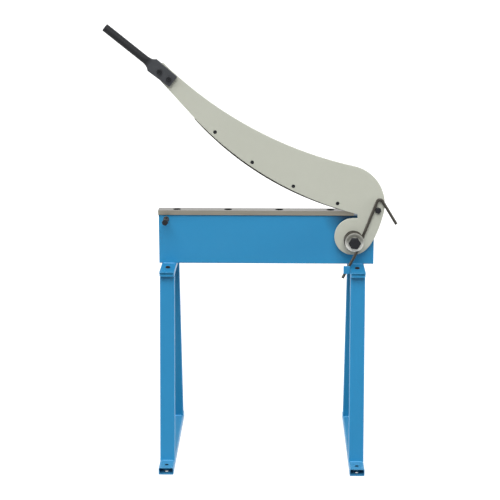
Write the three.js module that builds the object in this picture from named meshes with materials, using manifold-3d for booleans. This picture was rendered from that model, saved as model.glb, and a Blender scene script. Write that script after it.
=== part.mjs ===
// Hand-lever bench shear on a two-legged stand of rectangular tube.
// Millimetres, +Z up, X runs along the blades and Y runs from the operator to the back.
// While it is built, Y = 0 is the front face of the beam, Z = 0 the floor and X = 0 the
// middle of the beam. The last lines move the whole machine so that the middle of its
// footprint is the origin.
import * as THREE from "three";
import { mergeVertices } from "three/addons/utils/BufferGeometryUtils.js";
import Module from "manifold-3d";

const wasm = await Module();
wasm.setup();

// Fits and clearances
const SEAT_GAP = 0.3;            // between two pieces that rest on each other
const HOLE_CLEARANCE = 0.3;      // on the radius, round a bolt shank or a thread
const RUNNING_GAP = 0.08;        // on the radius, between bush and sleeve
const BLADE_CLEARANCE = 0.4;     // between the two blades
const CUT_OVERRUN = 2;           // how far a cutting tool passes the face that it opens
const ROUND_SIDES = 32;          // facets of a turned piece
const SMALL_ROUND_SIDES = 16;    // facets of a bolt shank or a bolt hole
const HEX_SIDES = 6;
const ARC_STEPS = 12;
const FULL_TURN = 360;
const TUBE_CORNER_STEPS = 2;
const BEAM_CORNER_STEPS = 3;

// Stand: two frames, each of a foot rail, two leaning posts and a top plate
const TUBE_WIDTH = 50;
const TUBE_DEPTH = 25;
const TUBE_WALL = 2.5;
const TUBE_CORNER = 4;
const RAIL_LENGTH = 564;
const RAIL_FRONT_Y = -262;
const POST_HEIGHT = 628;
const POST_TOP_INSET = 15;       // top plate's end to the face of the post
const FRONT_FOOT_LENGTH = 66;    // what the rail stands out past the front post
const REAR_FOOT_LENGTH = 30;
const FRONT_HOLE_INSET = 28;     // rail's end to the middle of its bolt hole
const REAR_HOLE_INSET = 15;
const FOOT_HOLE_DIAMETER = 12;
const TOP_PLATE_LENGTH = 280;
const TOP_PLATE_THICKNESS = 10;
const TOP_PLATE_CORNER = 3;
const LEFT_LEG_INSET = 34.5;      // end of the beam to the middle of each frame
const RIGHT_LEG_INSET = 58.5;

// Machine feet: flat bars under the beam, bolted to the top plates
const FOOT_BAR_OVERHANG = 6;     // past each end of the top plate
const FOOT_BAR_WIDTH = 50;
const FOOT_BAR_THICKNESS = 6;
const FOOT_BAR_CORNER = 2;
const STAND_BOLT_ROOM = 15;      // middle of the bolt to the inner face of the post
const STAND_BOLT_RECESS = 1.5;   // bolt end below the top of the bar

// Beam: a folded channel, open to the back
const BEAM_LENGTH = 736;
const BEAM_HEIGHT = 170;
const BEAM_DEPTH = 45;
const BEAM_WALL = 8;
const BEAM_CORNER = 3;

// Lower blade: a bar on top of the beam
const BAR_FROM_RIGHT_END = 70;   // end of the beam to the end of the bar
const BAR_WIDTH = 45;
const BAR_HEIGHT = 16;
const BAR_CHAMFER = 0.6;
const BAR_FRONT_OVERHANG = 5;
const BAR_LEFT_OVERHANG = 1.5;
const BAR_SCREW_COUNT = 4;
const BAR_LEFT_SCREW_INSET = 63.5; // from the bar's end to the first screw
const BAR_RIGHT_SCREW_INSET = 79;
const BAR_SCREW_HEAD_DEPTH = 1;  // top of the head below the bar's top
const BAR_COUNTERBORE_DIAMETER = 26.5;

// Arm, in its own frame: the pivot is 0, 0 and the arm is raised as at rest
const PIVOT_FROM_RIGHT_END = 70;
const PIVOT_ABOVE_BEAM_BOTTOM = 91.5;
const ARM_THICKNESS = 10;
const HUB_X = -2.4;
const HUB_Z = 9.2;
const HUB_RADIUS = 63.4;
const HUB_EXIT_ANGLE = -45;
const NOTCH_END_X = 11.7;
const SHOULDER_X = -31;
const SHOULDER_Z = 121;
const SHOULDER_RADIUS = 134;
const SHOULDER_START_ANGLE = -14;
const SHOULDER_END_ANGLE = 77.6;
const TOP_EDGE_RADIUS = 1320;
const TOP_EDGE_END_ANGLE = 225.7;
const ARM_EDGE_SHIFT_X = 6.7;    // the arm's lower edge is the blade's arc, shifted, so
const ARM_EDGE_SHIFT_Z = -1.5;   // that the blade stands proud more and more to its tip
const NOTCH_TOP_ANGLE = -102.6;
const ARM_END_INSET = 25;        // along the handle, from its shoulder to the arm's end
const ARM_END_HALF_WIDTH = 18;

// Upper blade: an arc along the lower edge of the arm, behind it
const EDGE_X = 240;
const EDGE_Z = 1107.5;
const EDGE_RADIUS = 1047;
const UPPER_BLADE_WIDTH = 42;
const UPPER_BLADE_THICKNESS = 6;
const BLADE_TIP_ANGLE = -138.2;
const BLADE_HEEL_ANGLE = -105;
const BLADE_SCREW_COUNT = 4;
const BLADE_SCREW_STEP = 9;      // degrees along the arc
const BLADE_SCREW_FIRST = -133.8;
const BLADE_SCREW_FROM_EDGE = 20;
const BLADE_SCREW_DIAMETER = 8;
const BLADE_SCREW_HEAD = 12;
const BLADE_SCREW_HEAD_HEIGHT = 5;
const BLADE_SCREW_HEAD_SINK = 0.3;
const BLADE_SCREW_SOCKET = 5;

// Pivot stack, all on one axis
const PIVOT_BOLT_DIAMETER = 24;
const PIVOT_BOLT_FLATS = 36;
const PIVOT_HEAD_HEIGHT = 15;
const PIVOT_NUT_HEIGHT = 20;
const PIVOT_BOLT_TAIL = 3;       // thread past the nut
const SLEEVE_DIAMETER = 40;
const BUSH_DIAMETER = 50;
const SPACER_DIAMETER = 60;
const RETAINER_DIAMETER = 63;
const RETAINER_THICKNESS = 6;    // back to rim
const RETAINER_RIM = 1.5;        // flat width of the rim, round the dish
const RETAINER_DISH_DEPTH = 3.5;
const RETAINER_BOSS_DIAMETER = 38;
const RETAINER_BOSS_RISE = 3;    // past the rim, to the bolt's head
const RETAINER_CHAMFER = 1;
const BOSS_DIAMETER = 100;
const BOSS_THICKNESS = 10;
const PIVOT_WASHER_DIAMETER = 44;
const PIVOT_WASHER_THICKNESS = 4;

// Torsion spring: one wire, three turns and a bit, and two legs
const WIRE_DIAMETER = 10;
const WIRE_SIDES = 5;
const COIL_SLEEVE_ROOM = 3;      // on the radius, between the coil and its sleeve
const COIL_TURN_GAP = 0.45;      // between one turn and the next
const COIL_FULL_TURNS = 3;
const COIL_STEPS = 12;           // per turn
const COIL_SHIFT_X = -2;         // the load pulls the coil to one side of its sleeve
const COIL_SHIFT_Z = 0.8;
const LOWER_LEG_ANGLE = 62.5;    // both angles are the wire's heading, going up
const LOWER_LEG_LENGTH = 119.5;
const UPPER_LEG_ANGLE = 69.2;
const UPPER_LEG_LENGTH = 162;    // from the coil to the corner of the hook
const LEG_BEND = 20;             // outwards, where a leg leaves the coil
const HOOK_TURN = 127.7;
const HOOK_RADIUS = 10.5;
const HOOK_STEPS = 5;
const HOOK_LENGTH = 115;         // from the corner of the hook to the wire's end
const LEAST_WIRE_GAP = 0.4;
const GAP_SAMPLES = 24;          // along each straight piece of the wire, when it is measured

// Spring bracket on the right foot bar
const BRACKET_WIDTH = 22;
const BRACKET_HEIGHT = 27.5;
const BRACKET_RISE = 9.5;        // above the top of the foot bar
const BRACKET_THICKNESS = 3;
const BRACKET_SIDE_HEIGHT = 14;
const BRACKET_SIDE_REACH = 22;

// Small bolts
const M12_DIAMETER = 12;
const M12_FLATS = 19;
const M12_HEAD_HEIGHT = 7.5;
const M12_NUT_HEIGHT = 10.5;
const M12_JAM_NUT_HEIGHT = 6.5;
const M16_DIAMETER = 16;
const M16_FLATS = 24;
const M16_HEAD_HEIGHT = 10;
const HEX_CHAMFER = 1.2;
const SHANK_CHAMFER = 1;
const STOP_BOLT_FROM_LEFT_END = 25.8;
const STOP_BOLT_BELOW_TOP = 14.5;
const STOP_BOLT_REACH = 54;      // beam face to the back of the head
const STOP_BOLT_TAIL = 6;        // thread past the beam's wall
const CATCH_ALONG_LEG = 114;     // from the coil, along the upper leg
const CATCH_BOLT_TAIL = 3;
const BAR_SCREW_HEAD_DIAMETER = 24;
const BAR_SCREW_HEAD_HEIGHT = 9;
const BAR_SCREW_SOCKET = 12;
const BAR_SCREW_TAIL = 2;

// Handle: a round bar, forged flat at the end that is screwed to the arm
const HANDLE_SHOULDER_X = -689.5;
const HANDLE_SHOULDER_Z = 600.4;
const HANDLE_ANGLE = 38.65;      // below the level, seen from the front
const GRIP_LENGTH = 184;
const GRIP_DIAMETER = 27;
const GRIP_END_CHAMFER = 2.5;
const GRIP_NECK = 14;            // where the bar starts to flatten, before the shoulder
const PALM_LENGTH = 104;
const PALM_START = 16;
const PALM_START_WIDTH = 49.5;
const PALM_END_WIDTH = 44;
const PALM_THICKNESS = 12;
const PALM_END_CORNER = 4;
const PALM_EDGE_ROUND = 2.5;
const GRIP_FLAT = 0.1;           // half of the little flats left on the round grip
const CORNER_POINTS = 4;
const HANDLE_SCREW_FIRST = 48;
const HANDLE_SCREW_PITCH = 39;
const HANDLE_SCREW_COUNT = 2;
const HANDLE_SCREW_OFFSET = -2;
const HANDLE_SCREW_HEAD = 18;
const HANDLE_SCREW_HEAD_HEIGHT = 7;
const HANDLE_SCREW_SOCKET = 8;
const HANDLE_SCREW_TAIL = 2;
const SOCKET_DEPTH_SHARE = 0.6;  // of the head's height

// Finishes
const bluePaint = finish(0x2f84b9, 0.42, 0.15);
const greyPaint = finish(0xbdbeb3, 0.5, 0.1);
const groundSteel = finish(0xa9a7a0, 0.35, 0.9);
const blackOxide = finish(0x2c2d31, 0.45, 0.6);
const blackHandle = finish(0x3e4042, 0.5, 0.3);
const springWire = finish(0x46423c, 0.5, 0.5);
const turnedSteel = finish(0xb4b4ac, 0.35, 0.8);
const bronze = finish(0x9a7442, 0.4, 0.8);
const zincPlate = finish(0x8f9194, 0.4, 0.85);

function finish(color, roughness, metalness) {
  return new THREE.MeshStandardMaterial({ color, roughness, metalness });
}

function radians(degrees) {
  return THREE.MathUtils.degToRad(degrees);
}

function polar(centreX, centreY, radius, degrees) {
  const angle = radians(degrees);
  return new THREE.Vector2(centreX + radius * Math.cos(angle), centreY + radius * Math.sin(angle));
}

// Places that follow from the sizes, from the floor up
const postBottomZ = TUBE_DEPTH + SEAT_GAP;
const postTopZ = postBottomZ + POST_HEIGHT;
const topPlateZ = postTopZ + SEAT_GAP;
const footBarZ = topPlateZ + TOP_PLATE_THICKNESS + SEAT_GAP;
const footBarTopZ = footBarZ + FOOT_BAR_THICKNESS;
const beamZ = footBarTopZ + SEAT_GAP;
const beamTopZ = beamZ + BEAM_HEIGHT;
const barZ = beamTopZ + SEAT_GAP;
const barTopZ = barZ + BAR_HEIGHT;
const barLeftX = -BEAM_LENGTH / 2 - BAR_LEFT_OVERHANG;
const barLength = BEAM_LENGTH / 2 - BAR_FROM_RIGHT_END - barLeftX;
const barScrewRoom = barLength - BAR_LEFT_SCREW_INSET - BAR_RIGHT_SCREW_INSET;
const barScrewPitch = barScrewRoom / (BAR_SCREW_COUNT - 1);
const standMiddleY = RAIL_FRONT_Y + RAIL_LENGTH / 2;
const pivotX = BEAM_LENGTH / 2 - PIVOT_FROM_RIGHT_END;
const pivotZ = beamZ + PIVOT_ABOVE_BEAM_BOTTOM;
const leftLegX = -BEAM_LENGTH / 2 + LEFT_LEG_INSET;
const rightLegX = BEAM_LENGTH / 2 - RIGHT_LEG_INSET;
const legs = [
  { side: "left", x: leftLegX },
  { side: "right", x: rightLegX },
];

// Places along the pivot axis, from the beam's face towards the operator
const bladeBackY = -BAR_FRONT_OVERHANG - BLADE_CLEARANCE;
const bladeFrontY = bladeBackY - UPPER_BLADE_THICKNESS;
const armBackY = bladeFrontY - SEAT_GAP;
const armFrontY = armBackY - ARM_THICKNESS;
const spacerFrontY = armBackY + SEAT_GAP;
const coilBackY = armFrontY - SEAT_GAP - WIRE_DIAMETER / 2;
const coilRadius = SLEEVE_DIAMETER / 2 + COIL_SLEEVE_ROOM + WIRE_DIAMETER / 2;
const coilPitch = WIRE_DIAMETER + COIL_TURN_GAP;
const coilTurns = COIL_FULL_TURNS + (UPPER_LEG_ANGLE - LOWER_LEG_ANGLE + 2 * LEG_BEND) / FULL_TURN;
const coilFrontY = coilBackY - coilTurns * coilPitch;
const retainerBackY = coilFrontY - WIRE_DIAMETER / 2 - SEAT_GAP;
const retainerRimY = retainerBackY - RETAINER_THICKNESS;
const retainerFrontY = retainerRimY - RETAINER_BOSS_RISE;
const bossBackY = BEAM_WALL + SEAT_GAP + BOSS_THICKNESS;
const washerBackY = bossBackY + SEAT_GAP + PIVOT_WASHER_THICKNESS;
const nutBackY = washerBackY + SEAT_GAP + PIVOT_NUT_HEIGHT;

// Solids: joining and cutting
function solidOf(geometry) {
  const bare = geometry.clone();
  bare.deleteAttribute("normal");
  bare.deleteAttribute("uv");
  const merged = mergeVertices(bare);
  const vertProperties = new Float32Array(merged.attributes.position.array);
  const triVerts = new Uint32Array(merged.index.array);
  return new wasm.Manifold(new wasm.Mesh({ numProp: 3, vertProperties, triVerts }));
}

function geometryOf(solid) {
  const { vertProperties, triVerts } = solid.getMesh();
  const geometry = new THREE.BufferGeometry();
  geometry.setAttribute("position", new THREE.BufferAttribute(new Float32Array(vertProperties), 3));
  geometry.setIndex(new THREE.BufferAttribute(new Uint32Array(triVerts), 1));
  geometry.computeVertexNormals();
  return geometry;
}

function join(...geometries) {
  return geometryOf(geometries.map(solidOf).reduce((sum, next) => sum.add(next)));
}

function cut(geometry, ...tools) {
  return geometryOf(tools.map(solidOf).reduce((rest, tool) => rest.subtract(tool), solidOf(geometry)));
}

function common(first, second) {
  return geometryOf(solidOf(first).intersect(solidOf(second)));
}

// A rod along Y between two places
function rod(radius, fromY, toY, sides = SMALL_ROUND_SIDES) {
  const low = Math.min(fromY, toY);
  const high = Math.max(fromY, toY);
  return new THREE.CylinderGeometry(radius, radius, high - low, sides).translate(0, (low + high) / 2, 0);
}

// A piece turned about Y from its half profile of [radius, y] corners
function turned(profile, sides = ROUND_SIDES) {
  return new THREE.LatheGeometry(profile.map(([radius, y]) => new THREE.Vector2(radius, y)), sides);
}

function ring(outerRadius, innerRadius, fromY, toY) {
  const low = Math.min(fromY, toY);
  const high = Math.max(fromY, toY);
  const profile = [
    [innerRadius, low],
    [outerRadius, low],
    [outerRadius, high],
    [innerRadius, high],
    [innerRadius, low],
  ];
  return turned(profile);
}

// A flat plate cut from an outline in X and Z, its back face at backY
function plate(outline, thickness, backY) {
  const options = { depth: thickness, bevelEnabled: false, curveSegments: ARC_STEPS };
  return new THREE.ExtrudeGeometry(outline, options).rotateX(Math.PI / 2).translate(0, backY, 0);
}

function roundedRectangle(width, height, radius, path = new THREE.Shape()) {
  const right = width / 2;
  const top = height / 2;
  path.moveTo(right, -top + radius);
  path.lineTo(right, top - radius);
  path.absarc(right - radius, top - radius, radius, 0, Math.PI / 2, false);
  path.lineTo(-right + radius, top);
  path.absarc(-right + radius, top - radius, radius, Math.PI / 2, Math.PI, false);
  path.lineTo(-right, -top + radius);
  path.absarc(-right + radius, -top + radius, radius, Math.PI, -Math.PI / 2, false);
  path.lineTo(right - radius, -top);
  path.absarc(right - radius, -top + radius, radius, -Math.PI / 2, 0, false);
  return path;
}

// Rectangular tube of the stand, upright, its foot at Z = 0
function tube(length) {
  const section = roundedRectangle(TUBE_WIDTH, TUBE_DEPTH, TUBE_CORNER);
  const bore = roundedRectangle(
    TUBE_WIDTH - 2 * TUBE_WALL,
    TUBE_DEPTH - 2 * TUBE_WALL,
    TUBE_CORNER - TUBE_WALL,
    new THREE.Path(),
  );
  section.holes.push(bore);
  const options = { depth: length, bevelEnabled: false, curveSegments: TUBE_CORNER_STEPS };
  return new THREE.ExtrudeGeometry(section, options);
}

// Fasteners: the bearing face of the head is y = 0, the head is in front and the shank behind
function hexagon(flats, fromY, toY) {
  return rod(flats / Math.sqrt(3), fromY, toY, HEX_SIDES);
}

function hexHead(flats, height) {
  const corner = flats / Math.sqrt(3);
  const profile = [
    [0, -height],
    [corner - HEX_CHAMFER, -height],
    [corner, -height + HEX_CHAMFER],
    [corner, 0],
    [0, 0],
  ];
  return common(hexagon(flats, -height, 0), turned(profile, SMALL_ROUND_SIDES));
}

function shank(diameter, length) {
  const radius = diameter / 2;
  const profile = [
    [0, -SEAT_GAP],
    [radius, -SEAT_GAP],
    [radius, length - SHANK_CHAMFER],
    [radius - SHANK_CHAMFER, length],
    [0, length],
  ];
  return turned(profile, SMALL_ROUND_SIDES);
}

function hexBolt(diameter, flats, headHeight, length) {
  return join(hexHead(flats, headHeight), shank(diameter, length));
}

function socketScrew({ diameter, length, headDiameter, headHeight, socket }) {
  const radius = headDiameter / 2;
  const profile = [
    [0, -headHeight],
    [radius - SHANK_CHAMFER, -headHeight],
    [radius, -headHeight + SHANK_CHAMFER],
    [radius, 0],
    [0, 0],
  ];
  const head = turned(profile, SMALL_ROUND_SIDES);
  const socketFloor = -headHeight + headHeight * SOCKET_DEPTH_SHARE;
  const hexSocket = hexagon(socket, -headHeight - CUT_OVERRUN, socketFloor);
  return cut(join(head, shank(diameter, length)), hexSocket);
}

// A nut that starts at y = 0 and goes to the back
function hexNut(diameter, flats, height) {
  const corner = flats / Math.sqrt(3);
  const profile = [
    [0, 0],
    [corner - HEX_CHAMFER, 0],
    [corner, HEX_CHAMFER],
    [corner, height - HEX_CHAMFER],
    [corner - HEX_CHAMFER, height],
    [0, height],
  ];
  const blank = common(hexagon(flats, 0, height), turned(profile, SMALL_ROUND_SIDES));
  return cut(blank, rod(diameter / 2 + HOLE_CLEARANCE, -CUT_OVERRUN, height + CUT_OVERRUN));
}

// Scene graph helpers
function named(name, geometry, material, x = 0, y = 0, z = 0) {
  const mesh = new THREE.Mesh(geometry, material);
  mesh.name = name;
  mesh.position.set(x, y, z);
  return mesh;
}

const machine = new THREE.Group();

// Stand
const headSpread = TOP_PLATE_LENGTH / 2 - POST_TOP_INSET;
const frontFootY = RAIL_FRONT_Y + FRONT_FOOT_LENGTH;
const rearFootY = RAIL_FRONT_Y + RAIL_LENGTH - REAR_FOOT_LENGTH;
const frontLean = (standMiddleY - headSpread - frontFootY) / POST_HEIGHT;
const rearLean = (standMiddleY + headSpread - rearFootY) / POST_HEIGHT;

// The post is cut level at both ends, so its level section is the tube's, stretched by the
// lean. Its outer face starts at Y = 0, and it stands on the side that inwards points to.
function postDepth(lean) {
  return TUBE_DEPTH * Math.hypot(1, lean);
}

function leaningPost(lean, inwards) {
  const shear = new THREE.Matrix4().makeShear(0, 0, 0, 0, 0, lean);
  return tube(POST_HEIGHT)
    .scale(1, postDepth(lean) / TUBE_DEPTH, 1)
    .translate(0, inwards * postDepth(lean) / 2, 0)
    .applyMatrix4(shear);
}

function footRail() {
  const rail = tube(RAIL_LENGTH).rotateX(-Math.PI / 2).translate(0, 0, TUBE_DEPTH / 2);
  const holeRadius = FOOT_HOLE_DIAMETER / 2;
  const drill = rod(holeRadius, -CUT_OVERRUN, TUBE_DEPTH + CUT_OVERRUN).rotateX(Math.PI / 2);
  const holes = [FRONT_HOLE_INSET, RAIL_LENGTH - REAR_HOLE_INSET];
  return cut(rail, ...holes.map((y) => drill.clone().translate(0, y, 0)));
}

const standBoltSpread = headSpread - postDepth(rearLean) - STAND_BOLT_ROOM;
const footBarLength = TOP_PLATE_LENGTH + 2 * FOOT_BAR_OVERHANG;

// A level flat bar with a hole for a stand bolt near each end
function flatBar(width, length, corner, thickness) {
  const outline = roundedRectangle(width, length, corner);
  const options = { depth: thickness, bevelEnabled: false, curveSegments: TUBE_CORNER_STEPS };
  const radius = M16_DIAMETER / 2 + HOLE_CLEARANCE;
  const drill = rod(radius, -CUT_OVERRUN, thickness + CUT_OVERRUN).rotateX(Math.PI / 2);
  return cut(
    new THREE.ExtrudeGeometry(outline, options),
    drill.clone().translate(0, -standBoltSpread, 0),
    drill.clone().translate(0, standBoltSpread, 0),
  );
}

const frontPost = leaningPost(frontLean, 1);
const rearPost = leaningPost(rearLean, -1);
const rail = footRail();
const topPlate = flatBar(TUBE_WIDTH, TOP_PLATE_LENGTH, TOP_PLATE_CORNER, TOP_PLATE_THICKNESS);
const footBar = flatBar(FOOT_BAR_WIDTH, footBarLength, FOOT_BAR_CORNER, FOOT_BAR_THICKNESS);
const standBoltLength = TOP_PLATE_THICKNESS + FOOT_BAR_THICKNESS + 2 * SEAT_GAP - STAND_BOLT_RECESS;
const standBolt = hexBolt(M16_DIAMETER, M16_FLATS, M16_HEAD_HEIGHT, standBoltLength).rotateX(Math.PI / 2);

for (const { side, x } of legs) {
  machine.add(
    named(`${side}_foot_rail`, rail, bluePaint, x, RAIL_FRONT_Y, 0),
    named(`${side}_front_post`, frontPost, bluePaint, x, frontFootY, postBottomZ),
    named(`${side}_rear_post`, rearPost, bluePaint, x, rearFootY, postBottomZ),
    named(`${side}_top_plate`, topPlate, bluePaint, x, standMiddleY, topPlateZ),
    named(`${side}_machine_foot`, footBar, bluePaint, x, standMiddleY, footBarZ),
  );
  [["front", -standBoltSpread], ["rear", standBoltSpread]].forEach(([place, offset]) => {
    const y = standMiddleY + offset;
    machine.add(named(`${side}_${place}_stand_bolt`, standBolt, blackOxide, x, y, topPlateZ - SEAT_GAP));
  });
}

// Beam, with its holes for the pivot, the stop bolt and the screws of the lower blade
const barScrewY = BAR_WIDTH / 2 - BAR_FRONT_OVERHANG;
const barScrewX = Array.from({ length: BAR_SCREW_COUNT }, (_, index) => {
  return barLeftX + BAR_LEFT_SCREW_INSET + index * barScrewPitch;
});
const stopBoltX = -BEAM_LENGTH / 2 + STOP_BOLT_FROM_LEFT_END;
const stopBoltZ = beamTopZ - STOP_BOLT_BELOW_TOP;

// Turns a section drawn in Y and Z so that it is drawn out along X
const alongX = new THREE.Matrix4().makeBasis(
  new THREE.Vector3(0, 1, 0),
  new THREE.Vector3(0, 0, 1),
  new THREE.Vector3(1, 0, 0),
);

function beam() {
  const profile = new THREE.Shape();
  profile.moveTo(BEAM_DEPTH, 0);
  profile.lineTo(BEAM_DEPTH, BEAM_WALL);
  profile.lineTo(BEAM_WALL, BEAM_WALL);
  profile.lineTo(BEAM_WALL, BEAM_HEIGHT - BEAM_WALL);
  profile.lineTo(BEAM_DEPTH, BEAM_HEIGHT - BEAM_WALL);
  profile.lineTo(BEAM_DEPTH, BEAM_HEIGHT);
  profile.lineTo(BEAM_CORNER, BEAM_HEIGHT);
  profile.absarc(BEAM_CORNER, BEAM_HEIGHT - BEAM_CORNER, BEAM_CORNER, Math.PI / 2, Math.PI, false);
  profile.lineTo(0, BEAM_CORNER);
  profile.absarc(BEAM_CORNER, BEAM_CORNER, BEAM_CORNER, Math.PI, 1.5 * Math.PI, false);
  const options = { depth: BEAM_LENGTH, bevelEnabled: false, curveSegments: BEAM_CORNER_STEPS };
  const channel = new THREE.ExtrudeGeometry(profile, options)
    .applyMatrix4(alongX)
    .translate(-BEAM_LENGTH / 2, 0, beamZ);
  const wall = [-CUT_OVERRUN, BEAM_WALL + CUT_OVERRUN];
  const pivotHole = rod(PIVOT_BOLT_DIAMETER / 2 + HOLE_CLEARANCE, ...wall, ROUND_SIDES);
  const stopHole = rod(M12_DIAMETER / 2 + HOLE_CLEARANCE, ...wall);
  const screwRadius = M16_DIAMETER / 2 + HOLE_CLEARANCE;
  const screwHole = rod(screwRadius, -CUT_OVERRUN, BEAM_WALL + CUT_OVERRUN).rotateX(Math.PI / 2);
  return cut(
    channel,
    pivotHole.translate(pivotX, 0, pivotZ),
    stopHole.translate(stopBoltX, 0, stopBoltZ),
    ...barScrewX.map((x) => screwHole.clone().translate(x, barScrewY, beamTopZ - BEAM_WALL)),
  );
}

// Lower blade: a bar with small chamfers and four counterbored holes
const barHeadZ = barTopZ - BAR_SCREW_HEAD_DEPTH - BAR_SCREW_HEAD_HEIGHT;

function lowerBlade() {
  const half = BAR_WIDTH / 2;
  const profile = new THREE.Shape();
  profile.moveTo(-half, BAR_CHAMFER);
  profile.lineTo(-half + BAR_CHAMFER, 0);
  profile.lineTo(half - BAR_CHAMFER, 0);
  profile.lineTo(half, BAR_CHAMFER);
  profile.lineTo(half, BAR_HEIGHT - BAR_CHAMFER);
  profile.lineTo(half - BAR_CHAMFER, BAR_HEIGHT);
  profile.lineTo(-half, BAR_HEIGHT);
  const bar = new THREE.ExtrudeGeometry(profile, { depth: barLength, bevelEnabled: false })
    .applyMatrix4(alongX)
    .translate(barLeftX, barScrewY, barZ);
  const throughRadius = M16_DIAMETER / 2 + HOLE_CLEARANCE;
  const through = rod(throughRadius, -CUT_OVERRUN, BAR_HEIGHT + CUT_OVERRUN).rotateX(Math.PI / 2);
  const headRoom = BAR_SCREW_HEAD_DEPTH + BAR_SCREW_HEAD_HEIGHT + SEAT_GAP;
  const counterboreRadius = BAR_COUNTERBORE_DIAMETER / 2;
  const counterbore = rod(counterboreRadius, -headRoom, CUT_OVERRUN, ROUND_SIDES).rotateX(Math.PI / 2);
  const tools = barScrewX.flatMap((x) => [
    through.clone().translate(x, barScrewY, barZ),
    counterbore.clone().translate(x, barScrewY, barTopZ),
  ]);
  return cut(bar, ...tools);
}

const barScrew = socketScrew({
  diameter: M16_DIAMETER,
  length: barHeadZ - beamTopZ + BEAM_WALL + BAR_SCREW_TAIL,
  headDiameter: BAR_SCREW_HEAD_DIAMETER,
  headHeight: BAR_SCREW_HEAD_HEIGHT,
  socket: BAR_SCREW_SOCKET,
}).rotateX(-Math.PI / 2);

machine.add(named("beam", beam(), bluePaint), named("lower_blade", lowerBlade(), groundSteel));
barScrewX.forEach((x, index) => {
  machine.add(named(`lower_blade_screw_${index + 1}`, barScrew, blackOxide, x, barScrewY, barHeadZ));
});

// Stop bolt with its jam nut
const stopBoltLength = STOP_BOLT_REACH + BEAM_WALL + STOP_BOLT_TAIL;
const stopBolt = hexBolt(M12_DIAMETER, M12_FLATS, M12_HEAD_HEIGHT, stopBoltLength);
const jamNut = hexNut(M12_DIAMETER, M12_FLATS, M12_JAM_NUT_HEIGHT);
machine.add(
  named("stop_bolt", stopBolt, blackOxide, stopBoltX, -STOP_BOLT_REACH, stopBoltZ),
  named("stop_bolt_nut", jamNut, zincPlate, stopBoltX, -SEAT_GAP - M12_JAM_NUT_HEIGHT, stopBoltZ),
);

// Pivot: boss behind the beam, spacer, sleeve, dished retainer, bolt, washer and nut
const boltHole = PIVOT_BOLT_DIAMETER / 2 + HOLE_CLEARANCE;
const sleeveRadius = SLEEVE_DIAMETER / 2;
const bushBore = (sleeveRadius + RUNNING_GAP) / Math.cos(Math.PI / ROUND_SIDES);
const pivot = new THREE.Group();
pivot.position.set(pivotX, 0, pivotZ);
machine.add(pivot);

function springRetainer() {
  const rim = RETAINER_DIAMETER / 2;
  const bossRadius = RETAINER_BOSS_DIAMETER / 2;
  const profile = [
    [boltHole, retainerBackY],
    [boltHole, retainerFrontY],
    [bossRadius, retainerFrontY],
    [bossRadius, retainerRimY + RETAINER_DISH_DEPTH],
    [rim - RETAINER_CHAMFER - RETAINER_RIM, retainerRimY],
    [rim - RETAINER_CHAMFER, retainerRimY],
    [rim, retainerRimY + RETAINER_CHAMFER],
    [rim, retainerBackY],
    [boltHole, retainerBackY],
  ];
  return turned(profile);
}

const pivotBoltLength = nutBackY + PIVOT_BOLT_TAIL - retainerFrontY;
const pivotBolt = hexBolt(PIVOT_BOLT_DIAMETER, PIVOT_BOLT_FLATS, PIVOT_HEAD_HEIGHT, pivotBoltLength);
const pivotNut = hexNut(PIVOT_BOLT_DIAMETER, PIVOT_BOLT_FLATS, PIVOT_NUT_HEIGHT);
const sleeve = ring(sleeveRadius, boltHole, -SEAT_GAP, retainerBackY + SEAT_GAP);
const washer = ring(PIVOT_WASHER_DIAMETER / 2, boltHole, bossBackY + SEAT_GAP, washerBackY);
const boss = ring(BOSS_DIAMETER / 2, boltHole, BEAM_WALL + SEAT_GAP, bossBackY);
const spacer = ring(SPACER_DIAMETER / 2, bushBore, -SEAT_GAP, spacerFrontY);
pivot.add(
  named("pivot_boss", boss, bluePaint),
  named("hub_spacer", spacer, turnedSteel),
  named("pivot_sleeve", sleeve, turnedSteel),
  named("spring_retainer", springRetainer(), turnedSteel),
  named("pivot_bolt", pivotBolt, blackOxide, 0, retainerFrontY - SEAT_GAP, 0),
  named("pivot_washer", washer, zincPlate),
  named("pivot_nut", pivotNut, zincPlate, 0, washerBackY + SEAT_GAP, 0),
);

// Torsion spring. Seen from the front the wire comes up the lower leg, bends into the coil,
// winds anticlockwise towards the arm, bends out again and goes up the upper leg to the hook.
const coilStart = LOWER_LEG_ANGLE - LEG_BEND - 90;

function onCoil(degrees, y) {
  const point = polar(COIL_SHIFT_X, COIL_SHIFT_Z, coilRadius, degrees);
  return new THREE.Vector3(point.x, y, point.y);
}

function heading(degrees) {
  return new THREE.Vector3(Math.cos(radians(degrees)), 0, Math.sin(radians(degrees)));
}

function springPath() {
  const steps = Math.ceil(coilTurns * COIL_STEPS);
  const path = [onCoil(coilStart, coilFrontY).addScaledVector(heading(LOWER_LEG_ANGLE), -LOWER_LEG_LENGTH)];
  for (let step = 0; step <= steps; step++) {
    const turns = Math.min(step / COIL_STEPS, coilTurns);
    path.push(onCoil(coilStart + FULL_TURN * turns, coilFrontY + turns * coilPitch));
  }
  const corner = path.at(-1).clone().addScaledVector(heading(UPPER_LEG_ANGLE), UPPER_LEG_LENGTH);
  const reach = HOOK_RADIUS * Math.tan(radians(HOOK_TURN / 2));
  const hookStart = corner.clone().addScaledVector(heading(UPPER_LEG_ANGLE), -reach);
  const hookMiddle = hookStart.clone().addScaledVector(heading(UPPER_LEG_ANGLE - 90), HOOK_RADIUS);
  for (let step = 0; step <= HOOK_STEPS; step++) {
    const out = UPPER_LEG_ANGLE + 90 - HOOK_TURN * step / HOOK_STEPS;
    path.push(hookMiddle.clone().addScaledVector(heading(out), HOOK_RADIUS));
  }
  path.push(corner.clone().addScaledVector(heading(UPPER_LEG_ANGLE - HOOK_TURN), HOOK_LENGTH));
  return path;
}

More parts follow.
